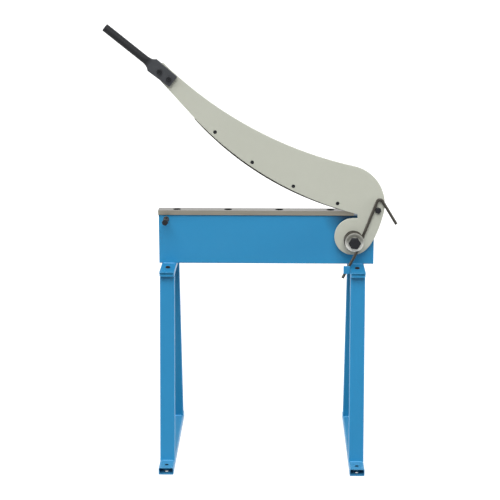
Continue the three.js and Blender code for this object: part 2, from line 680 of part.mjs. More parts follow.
function wireAlong(path) {
  const positions = [];
  const indices = [];
  const axis = new THREE.Vector3(0, 1, 0);
  path.forEach((point, index) => {
    const before = path[Math.max(index - 1, 0)];
    const after = path[Math.min(index + 1, path.length - 1)];
    const along = after.clone().sub(point).normalize().add(point.clone().sub(before).normalize()).normalize();
    const up = axis.clone().addScaledVector(along, -axis.dot(along)).normalize();
    const out = new THREE.Vector3().crossVectors(up, along);
    for (let side = 0; side < WIRE_SIDES; side++) {
      const angle = 2 * Math.PI * side / WIRE_SIDES;
      const vertex = point.clone()
        .addScaledVector(out, Math.cos(angle) * WIRE_DIAMETER / 2)
        .addScaledVector(up, Math.sin(angle) * WIRE_DIAMETER / 2);
      positions.push(vertex.x, vertex.y, vertex.z);
    }
  });
  for (let ringIndex = 0; ringIndex < path.length - 1; ringIndex++) {
    for (let side = 0; side < WIRE_SIDES; side++) {
      const next = (side + 1) % WIRE_SIDES;
      const low = ringIndex * WIRE_SIDES;
      const high = low + WIRE_SIDES;
      indices.push(low + side, low + next, high + side);
      indices.push(low + next, high + next, high + side);
    }
  }
  const last = (path.length - 1) * WIRE_SIDES;
  for (let side = 1; side < WIRE_SIDES - 1; side++) {
    indices.push(0, side + 1, side);
    indices.push(last, last + side, last + side + 1);
  }
  const geometry = new THREE.BufferGeometry();
  geometry.setAttribute("position", new THREE.Float32BufferAttribute(positions, 3));
  geometry.setIndex(indices);
  geometry.computeVertexNormals();
  return geometry;
}

// The least gap between two stretches of wire that are more than half a turn apart
function leastGap(path) {
  const samples = [];
  let travelled = 0;
  for (let index = 0; index < path.length - 1; index++) {
    const span = path[index].distanceTo(path[index + 1]);
    for (let step = 0; step < GAP_SAMPLES; step++) {
      const share = step / GAP_SAMPLES;
      samples.push({ point: path[index].clone().lerp(path[index + 1], share), at: travelled + span * share });
    }
    travelled += span;
  }
  const halfTurn = Math.PI * coilRadius;
  let least = Infinity;
  samples.forEach((one, index) => {
    for (const other of samples.slice(index + 1)) {
      if (other.at - one.at > halfTurn) {
        least = Math.min(least, one.point.distanceTo(other.point) - WIRE_DIAMETER);
      }
    }
  });
  return least;
}

const wirePath = springPath();
const wireGap = leastGap(wirePath);
console.log(`torsion spring: least gap to itself ${wireGap.toFixed(2)} mm, wanted over ${LEAST_WIRE_GAP} mm`);
pivot.add(named("torsion_spring", wireAlong(wirePath), springWire));

// Spring bracket: an angle on the left edge of the right foot bar. Its side takes the
// push of the lower leg, and its front keeps the leg in.
function legEdgeX(z) {
  const slope = Math.tan(radians(90 - LOWER_LEG_ANGLE));
  const legTop = onCoil(coilStart, 0);
  const sideways = WIRE_DIAMETER / 2 / Math.sin(radians(LOWER_LEG_ANGLE));
  return pivotX + legTop.x + (z - pivotZ - legTop.z) * slope + sideways;
}

function springBracket() {
  const rightX = rightLegX - FOOT_BAR_WIDTH / 2 - SEAT_GAP;
  const topZ = footBarTopZ + BRACKET_RISE;
  const bottomZ = topZ - BRACKET_HEIGHT;
  const sideTopZ = bottomZ + BRACKET_SIDE_HEIGHT;
  const sideLeftX = legEdgeX(sideTopZ) + SEAT_GAP;
  const frontBackY = coilFrontY - WIRE_DIAMETER / 2 - SEAT_GAP;
  const frontFrontY = frontBackY - BRACKET_THICKNESS;
  const front = blockBetween(
    rightX - BRACKET_WIDTH, frontFrontY, bottomZ,
    rightX, frontBackY, topZ,
  );
  const side = blockBetween(
    sideLeftX, frontFrontY, bottomZ,
    rightX, frontFrontY + BRACKET_SIDE_REACH, sideTopZ,
  );
  return join(front, side);
}

function blockBetween(x0, y0, z0, x1, y1, z1) {
  return new THREE.BoxGeometry(x1 - x0, y1 - y0, z1 - z0)
    .translate((x0 + x1) / 2, (y0 + y1) / 2, (z0 + z1) / 2);
}

machine.add(named("spring_bracket", springBracket(), bluePaint));

// Arm, in a group whose origin is the pivot
const arm = new THREE.Group();
arm.position.copy(pivot.position);
machine.add(arm);

const handleAlong = polar(0, 0, 1, -HANDLE_ANGLE);
const handleAcross = polar(0, 0, 1, 90 - HANDLE_ANGLE);

function onHandle(along, across) {
  return new THREE.Vector2(HANDLE_SHOULDER_X, HANDLE_SHOULDER_Z)
    .addScaledVector(handleAlong, along)
    .addScaledVector(handleAcross, across);
}

// Where the tangents at the ends of two arcs meet
function tangentsMeet(start, startHeading, end, endHeading) {
  const a = polar(0, 0, 1, startHeading);
  const b = polar(0, 0, 1, endHeading);
  const between = end.clone().sub(start);
  return start.clone().addScaledVector(a, between.cross(b) / a.cross(b));
}

function armOutline() {
  const notchTop = polar(
    EDGE_X + ARM_EDGE_SHIFT_X,
    EDGE_Z + ARM_EDGE_SHIFT_Z,
    EDGE_RADIUS,
    NOTCH_TOP_ANGLE,
  );
  const hubExit = polar(HUB_X, HUB_Z, HUB_RADIUS, HUB_EXIT_ANGLE);
  const shoulderStart = polar(SHOULDER_X, SHOULDER_Z, SHOULDER_RADIUS, SHOULDER_START_ANGLE);
  const flank = tangentsMeet(hubExit, HUB_EXIT_ANGLE + 90, shoulderStart, SHOULDER_START_ANGLE + 90);
  const topCentre = polar(SHOULDER_X, SHOULDER_Z, SHOULDER_RADIUS + TOP_EDGE_RADIUS, SHOULDER_END_ANGLE);
  const endTop = onHandle(ARM_END_INSET, ARM_END_HALF_WIDTH);
  const endBottom = onHandle(ARM_END_INSET, -ARM_END_HALF_WIDTH);
  const outline = new THREE.Shape();
  outline.moveTo(NOTCH_END_X, notchTop.y);
  outline.lineTo(NOTCH_END_X, HUB_Z + HUB_RADIUS);
  outline.absarc(HUB_X, HUB_Z, HUB_RADIUS, Math.PI / 2, radians(HUB_EXIT_ANGLE + FULL_TURN), false);
  outline.quadraticCurveTo(flank.x, flank.y, shoulderStart.x, shoulderStart.y);
  outline.absarc(
    SHOULDER_X, SHOULDER_Z, SHOULDER_RADIUS,
    radians(SHOULDER_START_ANGLE), radians(SHOULDER_END_ANGLE), false,
  );
  outline.absarc(
    topCentre.x, topCentre.y, TOP_EDGE_RADIUS,
    radians(SHOULDER_END_ANGLE + 180), radians(TOP_EDGE_END_ANGLE), true,
  );
  outline.lineTo(endTop.x, endTop.y);
  outline.lineTo(endBottom.x, endBottom.y);
  outline.absarc(
    EDGE_X + ARM_EDGE_SHIFT_X, EDGE_Z + ARM_EDGE_SHIFT_Z, EDGE_RADIUS,
    radians(BLADE_TIP_ANGLE), radians(NOTCH_TOP_ANGLE), false,
  );
  return outline;
}

const bladeScrewPlaces = Array.from({ length: BLADE_SCREW_COUNT }, (_, index) => {
  const angle = BLADE_SCREW_FIRST + index * BLADE_SCREW_STEP;
  return polar(EDGE_X, EDGE_Z, EDGE_RADIUS - BLADE_SCREW_FROM_EDGE, angle);
});
const handleScrewPlaces = Array.from({ length: HANDLE_SCREW_COUNT }, (_, index) => {
  return onHandle(HANDLE_SCREW_FIRST + index * HANDLE_SCREW_PITCH, HANDLE_SCREW_OFFSET);
});
const catchOffset = WIRE_DIAMETER / 2 + M12_FLATS / 2 + SEAT_GAP;
const catchPlace = onCoil(UPPER_LEG_ANGLE + LEG_BEND - 90, 0)
  .addScaledVector(heading(UPPER_LEG_ANGLE), CATCH_ALONG_LEG)
  .addScaledVector(heading(UPPER_LEG_ANGLE - 90), catchOffset);
const bladeHeadY = armFrontY + BLADE_SCREW_HEAD_SINK + BLADE_SCREW_HEAD_HEIGHT;

function armPlate() {
  const through = [armBackY + CUT_OVERRUN, armFrontY - CUT_OVERRUN];
  const hubBore = rod(BUSH_DIAMETER / 2 + SEAT_GAP, ...through, ROUND_SIDES);
  const catchHole = rod(M12_DIAMETER / 2 + HOLE_CLEARANCE, ...through);
  const handleHole = rod(M12_DIAMETER / 2 + HOLE_CLEARANCE, ...through);
  const bladeHole = rod(BLADE_SCREW_DIAMETER / 2 + HOLE_CLEARANCE, ...through);
  const sinkRadius = BLADE_SCREW_HEAD / 2 + HOLE_CLEARANCE;
  const headRoom = rod(sinkRadius, armFrontY - CUT_OVERRUN, bladeHeadY + SEAT_GAP);
  return cut(
    plate(armOutline(), ARM_THICKNESS, armBackY),
    hubBore,
    catchHole.translate(catchPlace.x, 0, catchPlace.z),
    ...handleScrewPlaces.map((place) => handleHole.clone().translate(place.x, 0, place.y)),
    ...bladeScrewPlaces.map((place) => bladeHole.clone().translate(place.x, 0, place.y)),
    ...bladeScrewPlaces.map((place) => headRoom.clone().translate(place.x, 0, place.y)),
  );
}

function upperBlade() {
  const outline = new THREE.Shape();
  const start = radians(BLADE_TIP_ANGLE);
  const end = radians(BLADE_HEEL_ANGLE);
  outline.absarc(EDGE_X, EDGE_Z, EDGE_RADIUS, start, end, false);
  outline.absarc(EDGE_X, EDGE_Z, EDGE_RADIUS - UPPER_BLADE_WIDTH, end, start, true);
  const hole = rod(
    BLADE_SCREW_DIAMETER / 2 + HOLE_CLEARANCE,
    bladeBackY + CUT_OVERRUN,
    bladeFrontY - CUT_OVERRUN,
  );
  const holes = bladeScrewPlaces.map((place) => hole.clone().translate(place.x, 0, place.y));
  return cut(plate(outline, UPPER_BLADE_THICKNESS, bladeBackY), ...holes);
}

const bladeScrew = socketScrew({
  diameter: BLADE_SCREW_DIAMETER,
  length: bladeBackY - SEAT_GAP - bladeHeadY,
  headDiameter: BLADE_SCREW_HEAD,
  headHeight: BLADE_SCREW_HEAD_HEIGHT,
  socket: BLADE_SCREW_SOCKET,
});
const catchLength = ARM_THICKNESS + 2 * SEAT_GAP + M12_NUT_HEIGHT + CATCH_BOLT_TAIL;
const catchBolt = hexBolt(M12_DIAMETER, M12_FLATS, M12_HEAD_HEIGHT, catchLength);
const m12Nut = hexNut(M12_DIAMETER, M12_FLATS, M12_NUT_HEIGHT);
const catchHeadY = armFrontY - SEAT_GAP;
const catchMesh = named("catch_bolt", catchBolt, blackOxide, catchPlace.x, catchHeadY, catchPlace.z);
catchMesh.rotation.y = radians(90 - UPPER_LEG_ANGLE);
const bush = ring(BUSH_DIAMETER / 2, bushBore, armBackY - SEAT_GAP, armFrontY + SEAT_GAP);

arm.add(
  named("arm_plate", armPlate(), greyPaint),
  named("arm_bush", bush, bronze),
  named("upper_blade", upperBlade(), groundSteel),
  catchMesh,
  named("catch_nut", m12Nut, zincPlate, catchPlace.x, armBackY + SEAT_GAP, catchPlace.z),
);
bladeScrewPlaces.forEach((place, index) => {
  arm.add(named(`upper_blade_screw_${index + 1}`, bladeScrew, blackOxide, place.x, bladeHeadY, place.y));
});

// Handle: sections along the bar, from the round grip to the flat palm
const palmBackY = armFrontY - SEAT_GAP;
const palmMiddleY = palmBackY - PALM_THICKNESS / 2;

function handleSection(along, halfWidth, halfThickness, corner) {
  const points = [];
  const corners = [[1, 1], [-1, 1], [-1, -1], [1, -1]];
  corners.forEach(([across, front], quarter) => {
    for (let step = 0; step <= CORNER_POINTS; step++) {
      const angle = (quarter + step / CORNER_POINTS) * Math.PI / 2;
      points.push(new THREE.Vector3(
        along,
        palmMiddleY - front * (halfThickness - corner) - corner * Math.sin(angle),
        across * (halfWidth - corner) + corner * Math.cos(angle),
      ));
    }
  });
  return points;
}

function loft(sections) {
  const count = sections[0].length;
  const indices = [];
  for (let level = 0; level < sections.length - 1; level++) {
    for (let side = 0; side < count; side++) {
      const low = level * count;
      const next = (side + 1) % count;
      indices.push(low + side, low + next, low + count + side);
      indices.push(low + next, low + count + next, low + count + side);
    }
  }
  const last = (sections.length - 1) * count;
  for (let side = 1; side < count - 1; side++) {
    indices.push(0, side + 1, side);
    indices.push(last, last + side, last + side + 1);
  }
  const positions = sections.flat().flatMap((point) => [point.x, point.y, point.z]);
  const geometry = new THREE.BufferGeometry();
  geometry.setAttribute("position", new THREE.Float32BufferAttribute(positions, 3));
  geometry.setIndex(indices);
  return geometry;
}

function handle() {
  const grip = GRIP_DIAMETER / 2;
  const palm = PALM_THICKNESS / 2;
  const startWidth = PALM_START_WIDTH / 2;
  const endWidth = PALM_END_WIDTH / 2;
  const neckShares = [
    { along: 0.45, width: 0.12, flat: 0.6 },
    { along: 0.75, width: 0.5, flat: 0.9 },
    { along: 1, width: 1, flat: 1 },
  ];
  const round = (along, radius) => handleSection(along, radius, radius, radius - GRIP_FLAT);
  const neck = neckShares.map(({ along, width, flat }) => {
    const halfThickness = THREE.MathUtils.lerp(grip, palm, flat);
    return handleSection(
      THREE.MathUtils.lerp(-GRIP_NECK, PALM_START, along),
      THREE.MathUtils.lerp(grip, startWidth, width),
      halfThickness,
      THREE.MathUtils.lerp(halfThickness, PALM_EDGE_ROUND, flat),
    );
  });
  const body = loft([
    round(-GRIP_LENGTH, grip - GRIP_END_CHAMFER),
    round(-GRIP_LENGTH + GRIP_END_CHAMFER, grip),
    round(-GRIP_NECK, grip),
    ...neck,
    handleSection(PALM_LENGTH - PALM_END_CORNER, endWidth, palm, PALM_EDGE_ROUND),
    handleSection(PALM_LENGTH, endWidth - PALM_END_CORNER, palm, PALM_EDGE_ROUND),
  ]);
  const hole = rod(
    M12_DIAMETER / 2 + HOLE_CLEARANCE,
    palmBackY + CUT_OVERRUN,
    palmBackY - PALM_THICKNESS - CUT_OVERRUN,
  );
  const holes = handleScrewPlaces.map((_, index) => {
    return hole.clone().translate(HANDLE_SCREW_FIRST + index * HANDLE_SCREW_PITCH, 0, HANDLE_SCREW_OFFSET);
  });
  return cut(body, ...holes);
}

const handleMesh = named("handle", handle(), blackHandle, HANDLE_SHOULDER_X, 0, HANDLE_SHOULDER_Z);
handleMesh.rotation.y = radians(HANDLE_ANGLE);
arm.add(handleMesh);

const handleScrewY = palmBackY - PALM_THICKNESS - SEAT_GAP;
const handleNutY = armBackY + SEAT_GAP;
const handleScrew = socketScrew({
  diameter: M12_DIAMETER,
  length: handleNutY + M12_NUT_HEIGHT + HANDLE_SCREW_TAIL - handleScrewY,
  headDiameter: HANDLE_SCREW_HEAD,
  headHeight: HANDLE_SCREW_HEAD_HEIGHT,
  socket: HANDLE_SCREW_SOCKET,
});
handleScrewPlaces.forEach((place, index) => {
  arm.add(
    named(`handle_screw_${index + 1}`, handleScrew, blackOxide, place.x, handleScrewY, place.y),
    named(`handle_nut_${index + 1}`, m12Nut, zincPlate, place.x, handleNutY, place.y),
  );
});

// The middle of the footprint becomes the origin
machine.updateMatrixWorld(true);
const middle = new THREE.Box3().setFromObject(machine, true).getCenter(new THREE.Vector3());
machine.position.set(-middle.x, -middle.y, 0);
machine.updateMatrixWorld(true);

export default machine;
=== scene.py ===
"""Looks of the bench shear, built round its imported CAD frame. Lengths below are millimetres
in the CAD's own building frame: X = 0 is the middle of the beam, Y = 0 its front face and
Z = 0 the floor. put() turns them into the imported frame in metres."""
import math
from collections import namedtuple

import bmesh
import bpy
from mathutils import Matrix, Vector
from mathutils.geometry import tessellate_polygon


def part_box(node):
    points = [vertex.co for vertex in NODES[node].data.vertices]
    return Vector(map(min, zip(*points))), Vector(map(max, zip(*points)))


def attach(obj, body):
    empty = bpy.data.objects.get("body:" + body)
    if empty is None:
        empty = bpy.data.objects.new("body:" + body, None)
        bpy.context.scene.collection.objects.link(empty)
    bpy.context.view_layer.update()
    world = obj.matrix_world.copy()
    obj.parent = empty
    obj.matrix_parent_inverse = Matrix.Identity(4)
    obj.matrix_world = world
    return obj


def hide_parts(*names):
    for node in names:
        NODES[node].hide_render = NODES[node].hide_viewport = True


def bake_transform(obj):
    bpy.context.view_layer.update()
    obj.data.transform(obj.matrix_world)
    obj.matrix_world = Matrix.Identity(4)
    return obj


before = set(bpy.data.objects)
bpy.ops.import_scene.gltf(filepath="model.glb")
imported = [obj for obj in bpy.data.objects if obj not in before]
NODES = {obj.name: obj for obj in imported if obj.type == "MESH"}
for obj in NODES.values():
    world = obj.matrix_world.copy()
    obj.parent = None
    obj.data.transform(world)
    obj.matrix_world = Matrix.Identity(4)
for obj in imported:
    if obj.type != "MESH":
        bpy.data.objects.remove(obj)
MM = 0.001
SIDES = ("left", "right")
GAP = 0.3  # what the CAD leaves between pieces that touch
beam_low, beam_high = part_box("beam")
SHIFT = Vector(((beam_low.x + beam_high.x) / 2, beam_low.y, 0.0)) / MM
boss_low, boss_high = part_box("pivot_boss")
PIVOT = (boss_low + boss_high) / 2 / MM - SHIFT
PIVOT.y = 0.0

# Arcs of the upper blade's edge and of the arm's lower edge: centre from the pivot, radius.
# The arm's leaves a strip of the blade in sight
EDGE = (240.0, 1107.5, 1047.0)
ARM_EDGE = (287.7, 1181.7, 1128.6)
HANDLE_SHOULDER = Vector((-689.5, 600.4))


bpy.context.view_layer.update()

# Node sockets that share their name with others
MIX_FIRST, MIX_SECOND, MIX_RESULT = 6, 7, 2
RANGE_LOW, RANGE_HIGH = 3, 4


# Materials
def linear(hex_colour, share=1.0):
    """Linear colour of a share of a display colour written as 0xRRGGBB."""
    parts = [((hex_colour >> shift) & 255) / 255 * share for shift in (16, 8, 0)]
    return [c / 12.92 if c < 0.04045 else ((c + 0.055) / 1.055) ** 2.4 for c in parts] + [1.0]


class Shader:
    """A small builder for one material's nodes."""

    def __init__(self, name, slot):
        self.material = bpy.data.materials.new(name)
        self.material.use_nodes = True
        self.material["slot"] = slot
        self.tree = self.material.node_tree
        self.tree.nodes.clear()
        self.out = self.tree.nodes.new("ShaderNodeOutputMaterial")
        self.bsdf = self.tree.nodes.new("ShaderNodeBsdfPrincipled")
        self.tree.links.new(self.bsdf.outputs["BSDF"], self.out.inputs["Surface"])
        self.place = self.node("ShaderNodeTexCoord").outputs["Object"]

    def node(self, kind, **settings):
        made = self.tree.nodes.new(kind)
        for key, value in settings.items():
            setattr(made, key, value)
        return made

    def put(self, socket, value):
        if isinstance(value, bpy.types.NodeSocket):
            self.tree.links.new(value, socket)
        else:
            socket.default_value = value

    def math(self, operation, a, b=0.0, clamp=False):
        node = self.node("ShaderNodeMath", operation=operation, use_clamp=clamp)
        self.put(node.inputs[0], a)
        self.put(node.inputs[1], b)
        return node.outputs[0]

    def vector_math(self, operation, a, b=None, output="Vector"):
        node = self.node("ShaderNodeVectorMath", operation=operation)
        self.put(node.inputs[0], a)
        if b is not None:
            self.put(node.inputs[1], b)
        return node.outputs[output]

    def noise(self, scale, detail=3.0, rough=0.55, stretch=None, where=None):
        node = self.node("ShaderNodeTexNoise")
        place = where if where is not None else self.place
        if stretch:
            place = self.vector_math("MULTIPLY", self.place, stretch)
        self.put(node.inputs["Vector"], place)
        self.put(node.inputs["Scale"], scale)
        self.put(node.inputs["Detail"], detail)
        self.put(node.inputs["Roughness"], rough)
        return node.outputs["Fac"]

    def span(self, value, low, high, to_low=0.0, to_high=1.0):
        node = self.node("ShaderNodeMapRange")
        for socket, number in zip(node.inputs, (value, low, high, to_low, to_high)):
            self.put(socket, number)
        return node.outputs[0]

    def blend(self, share, a, b):
        node = self.node("ShaderNodeMix", data_type="RGBA")
        self.put(node.inputs[0], share)
        self.put(node.inputs[MIX_FIRST], a)
        self.put(node.inputs[MIX_SECOND], b)
        return node.outputs[MIX_RESULT]

    def edges(self, radius):
        """1 on the outer edges of a piece and 0 on its faces."""
        bevel = self.node("ShaderNodeBevel", samples=4)
        self.put(bevel.inputs["Radius"], radius)
        plain = self.node("ShaderNodeNewGeometry").outputs["Normal"]
        alike = self.vector_math("DOT_PRODUCT", bevel.outputs[0], plain, "Value")
        return self.span(alike, 0.995, 0.9)

    def along(self, axis, vector=None):
        """One part of a vector, or of the place on the piece."""
        parts = self.node("ShaderNodeSeparateXYZ")
        self.put(parts.inputs[0], self.place if vector is None else vector)
        return parts.outputs[axis]

    def from_line(self, point, across):
        """Distance from a line through a point. Across is 0 along the line and 1 beside it."""
        apart = self.vector_math("SUBTRACT", self.place, point)
        flat = self.vector_math("MULTIPLY", apart, across)
        return self.vector_math("LENGTH", flat, output="Value")

    def around(self, x=0.0, z=0.0):
        """Distance from a line along Y, which is given by its place from the pivot."""
        return self.from_line((PIVOT + SHIFT + Vector((x, 0.0, z))) * MM, (1.0, 0.0, 1.0))

    def upright(self, x, y):
        """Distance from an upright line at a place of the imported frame, in metres."""
        return self.from_line((x, y, 0.0), (1.0, 1.0, 0.0))

    def turned_place(self):
        """Place on a face turned about the pivot, for its grain."""
        joined = self.node("ShaderNodeCombineXYZ")
        self.put(joined.inputs[0], self.around())
        self.put(joined.inputs[1], self.along(1))
        return joined.outputs[0]

    def facing_up(self):
        return self.along(2, self.node("ShaderNodeNewGeometry").outputs["Normal"])

    def bump(self, height, distance, strength):
        node = self.node("ShaderNodeBump")
        self.put(node.inputs["Strength"], strength)
        self.put(node.inputs["Distance"], distance)
        self.put(node.inputs["Height"], height)
        self.put(self.bsdf.inputs["Normal"], node.outputs[0])

    def finish(self, colour, roughness, metallic, specular):
        self.put(self.bsdf.inputs["Base Color"], colour)
        self.put(self.bsdf.inputs["Roughness"], roughness)
        self.put(self.bsdf.inputs["Metallic"], metallic)
        self.put(self.bsdf.inputs["Specular IOR Level"], specular)
        return self.material


# Painted shade and sheen, dust and the grip's tone: in full up to the first radius, gone at the
# second
GRIP_SHADE = 0x232426
# Paler on what looks up: dust and a painted sheen
DUST_AND_SHEEN = 0x70A6C6
# Painted shade of the arm on the beam round the hub
HUB_SHADE = 0x0B2238
HUB_SHADE_SPOT = (-22.0, 80.0)  # from the pivot
HUB_SHADE_RADII = (16.0, 85.0)
# Painted shade in the counterbores
COUNTERBORE_SHADE = 0x0C0C0E
COUNTERBORE_RADII = (13.8, 14.6)
# Painted shade in the rails' bolt holes
HOLE_SHADE = 0x081626
BOLT_HOLE_RADII = (6.4, 7.4)
FRONT_HOLE, REAR_HOLE = 28.0, 15.0  # from the ends of a rail


def spot(look, base, distance, radii, share, colour):
    """A share of a colour that ends between two distances."""
    inner, outer = radii
    return look.blend(look.span(distance, inner * MM, outer * MM, share, 0.0), base, linear(colour))


def gripped(look, base):
    """The hand keeps the grip darker than the flat that is screwed to the arm."""
    shoulder = HANDLE_SHOULDER.length
    share = look.span(look.around(), (shoulder - 8) * MM, (shoulder + 6) * MM)
    return look.blend(share, base, linear(GRIP_SHADE))


def dust_and_sheen(look, base):
    """Pale dust and a painted sheen on what looks up, more of both near the floor."""
    low = look.span(look.along(2), 0.03, 0.6, 0.22, 0.04)
    share = look.math("MULTIPLY", look.span(look.facing_up(), 0.5, 0.95), low)
    return look.blend(share, base, linear(DUST_AND_SHEEN))


def hub_shade_dust_and_sheen(look, base):
    """Painted shade on the beam where the blade comes down beside the hub, then dust and painted
    sheen.
    """
    return dust_and_sheen(look, spot(look, base, look.around(*HUB_SHADE_SPOT), HUB_SHADE_RADII, 0.88, HUB_SHADE))


def shaded_counterbores(look, base):
    """Painted shade in the counterbores of the lower blade, up to their rims."""
    for i in range(4):
        low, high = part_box(f"lower_blade_screw_{i + 1}")
        middle_line = look.upright((low.x + high.x) / 2, (low.y + high.y) / 2)
        base = spot(look, base, middle_line, COUNTERBORE_RADII, 0.95, COUNTERBORE_SHADE)
    return base


def dust_sheen_and_hole_shade(look, base):
    """Dust and painted sheen, then painted shade in the rails' bolt holes, up to their rims."""
    base = dust_and_sheen(look, base)
    for side in SIDES:
        low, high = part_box(f"{side}_foot_rail")
        for y in (low.y + FRONT_HOLE * MM, high.y - REAR_HOLE * MM):
            middle_line = look.upright((low.x + high.x) / 2, y)
            base = spot(look, base, middle_line, BOLT_HOLE_RADII, 0.9, HOLE_SHADE)
    return base


def paint(
    name, slot, colour, deep, edge_colour, roughness, edge=0.0011, least_edge=0.15, specular=0.3, over=None
):
    """Sprayed paint: slow colour drift, orange peel and paler edges, which are wear and a painted
    highlight. Over is a function that adds more colour on it: dust, painted sheen and painted shade."""
    look = Shader(name, slot)
    drift = look.span(look.noise(3.5, 4.0), 0.3, 0.7)
    fine = look.span(look.noise(45.0, 5.0, 0.65), 0.35, 0.65)
    base = look.blend(look.math("MULTIPLY", drift, 0.35), linear(colour), linear(deep))
    base = look.blend(look.math("MULTIPLY", fine, 0.12), base, linear(deep))
    # Paler edges: wear, and a painted highlight along them
    patch = look.span(look.noise(160.0, 3.0, 0.7), 0.5, 0.68, least_edge, 0.6)
    edge_share = look.math("MULTIPLY", look.edges(edge), patch, clamp=True)
    base = look.blend(edge_share, base, linear(edge_colour))
    if over:
        base = over(look, base)
    rough = look.span(look.noise(22.0, 4.0), 0.3, 0.7, roughness - 0.05, roughness + 0.07)
    look.bump(look.noise(620.0, 2.0), 0.00006, 0.35)
    return look.finish(base, rough, 0.0, specular)


def metal(
    name, slot, colour, deep, edge_colour, roughness, metallic,
    grain=None, scale=1.0, turned=False, shaded_colour=None, specular=0.3, lit_below=None, over=None,
):
    """Bare or oxidised steel: grain along one way, stains and brighter edges. With a shaded colour,
    the faces that do not look up take it as painted shade; with lit_below, what lies above the two
    given heights takes it instead, and what lies below keeps the bright colour as painted light."""
    look = Shader(name, slot)
    if turned:
        lines = look.noise(900.0, 3.0, 0.7, where=look.turned_place())
    elif grain:
        lines = look.noise(scale, 4.0, 0.65, stretch=grain)
    else:
        lines = look.noise(420.0, 3.0, 0.6)
    streaks = look.span(lines, 0.3, 0.7)
    stain = look.span(look.noise(14.0, 5.0, 0.62), 0.42, 0.7)
    base = look.blend(streaks, linear(colour), linear(deep))
    base = look.blend(look.math("MULTIPLY", stain, 0.35), base, linear(deep))
    # The shaded colour is painted shade; with lit_below, the bright colour under the heights is
    # painted light
    if shaded_colour:
        if lit_below:
            side = look.span(look.along(2), *lit_below)
        else:
            side = look.span(look.facing_up(), 0.3, 0.8, 1.0, 0.0)
        base = look.blend(side, base, look.blend(streaks, linear(shaded_colour), linear(shaded_colour, 0.85)))
    patch = look.span(look.noise(190.0, 3.0, 0.7), 0.4, 0.7)
    edge_share = look.math("MULTIPLY", look.edges(0.0007), patch, clamp=True)
    base = look.blend(look.math("MULTIPLY", edge_share, 0.7), base, linear(edge_colour))
    if over:
        base = over(look, base)
    rough = look.span(lines, 0.25, 0.75, roughness - 0.07, roughness + 0.09)
    look.bump(lines, 0.00004, 0.5)
    return look.finish(base, rough, metallic, specular)


BLUE = paint(
    "blue_paint", "blue_paint", colour=0x2A87B7, deep=0x237BAD, edge_colour=0xA2CBE4,
    roughness=0.34, edge=0.0022, least_edge=0.25, over=hub_shade_dust_and_sheen,
)
STAND_BLUE = paint(
    "stand_paint", "blue_paint", colour=0x237FAF, deep=0x1D74A3, edge_colour=0xA2CBE4,
    roughness=0.34, edge=0.0022, least_edge=0.25, over=dust_sheen_and_hole_shade,
)
# Inside the tubes: near black, as painted shade
BORE_SHADE = paint(
    "tube_bore_shade", "blue_paint", colour=0x040C18, deep=0x030810, edge_colour=0x0A1C30,
    roughness=0.8, specular=0.03,
)
# Paint on the weld beads, paler than the blue as a painted highlight on them
LIT_WELD = paint(
    "lit_weld_paint", "blue_paint", colour=0x58A6D2, deep=0x3F93C4, edge_colour=0xB4D8EC,
    roughness=0.3, least_edge=0.3,
)
GREY = paint(
    "grey_paint", "grey_paint", colour=0xBCBEB2, deep=0xB1B3A6, edge_colour=0xD8D9D0, roughness=0.45
)
# Ground steel: the faces that do not look up take a painted-shade colour
GROUND = metal(
    "ground_steel", "ground_steel", colour=0x868480, deep=0x7A7772, edge_colour=0xC0BEB8,
    roughness=0.36, metallic=0.6, grain=(1.0, 90.0, 90.0), scale=14.0, shaded_colour=0x8A867B, over=shaded_counterbores,
)
BLADE = metal(
    "blade_steel", "ground_steel", colour=0x34332E, deep=0x292824, edge_colour=0x6E6C64,
    roughness=0.5, metallic=0.3, grain=(1.0, 90.0, 1.0), scale=60.0,
)
OXIDE = metal(
    "black_oxide", "black_oxide", colour=0x1B1D21, deep=0x141518, edge_colour=0x7C7E83,
    roughness=0.32, metallic=0.35,
)
# Black screws in the counterbores, darker and without gloss: black oxide with painted shade of the
# counterbores
SUNK = metal(
    "sunk_screw", "black_oxide", colour=0x0C0D0F, deep=0x08090B, edge_colour=0x1C1D20,
    roughness=0.8, metallic=0.0, specular=0.0,
)
RUSTY = metal(
    "bolt_end", "black_oxide", colour=0x2E211D, deep=0x1C1715, edge_colour=0x54443D,
    roughness=0.7, metallic=0.1, specular=0.1,
)
BLACK = paint(
    "black_handle", "black_handle", colour=0x45474A, deep=0x3B3C3F, edge_colour=0x73767A,
    roughness=0.42, specular=0.15, over=gripped,
)
SPRING = metal(
    "spring_steel", "spring_steel", colour=0x423F39, deep=0x34312B, edge_colour=0x8D877B,
    roughness=0.42, metallic=0.4,
)
# Turned steel: bright below the pivot as painted light, darker above it as painted shade
TURNED = metal(
    "turned_steel", "turned_steel", colour=0xF2F2EC, deep=0xE6E6E0, edge_colour=0xDADAD4,
    roughness=0.45, metallic=0.1, turned=True,
    shaded_colour=0x94948C, lit_below=((PIVOT.z - 20) * MM, (PIVOT.z + 8) * MM),
)
DULL_ZINC = metal(
    "dull_zinc", "zinc_plate", colour=0x46484A, deep=0x38393B, edge_colour=0x9A9C9E,
    roughness=0.45, metallic=0.6,
)
BRONZE = metal(
    "bronze", "bronze", colour=0xA27C48, deep=0x87633A, edge_colour=0xC9A56B,
    roughness=0.4, metallic=0.8, turned=True,
)
ZINC = metal(
    "zinc_plate", "zinc_plate", colour=0x9A9DA0, deep=0x84878B, edge_colour=0xCFD1D3,
    roughness=0.38, metallic=0.8,
)


# Making pieces
def put(point):
    return (Vector(point) + SHIFT) * MM


def build(name, points, faces, material, body, replaces=(), smooth=40.0, weighted=True):
    """One piece from points in millimetres. Faces turn smooth below the given angle."""
    mesh = bpy.data.meshes.new(name)
    mesh.from_pydata([put(p) for p in points], [], faces)
    mesh.materials.append(material)
    return dress(name, mesh, body, replaces, smooth, weighted)


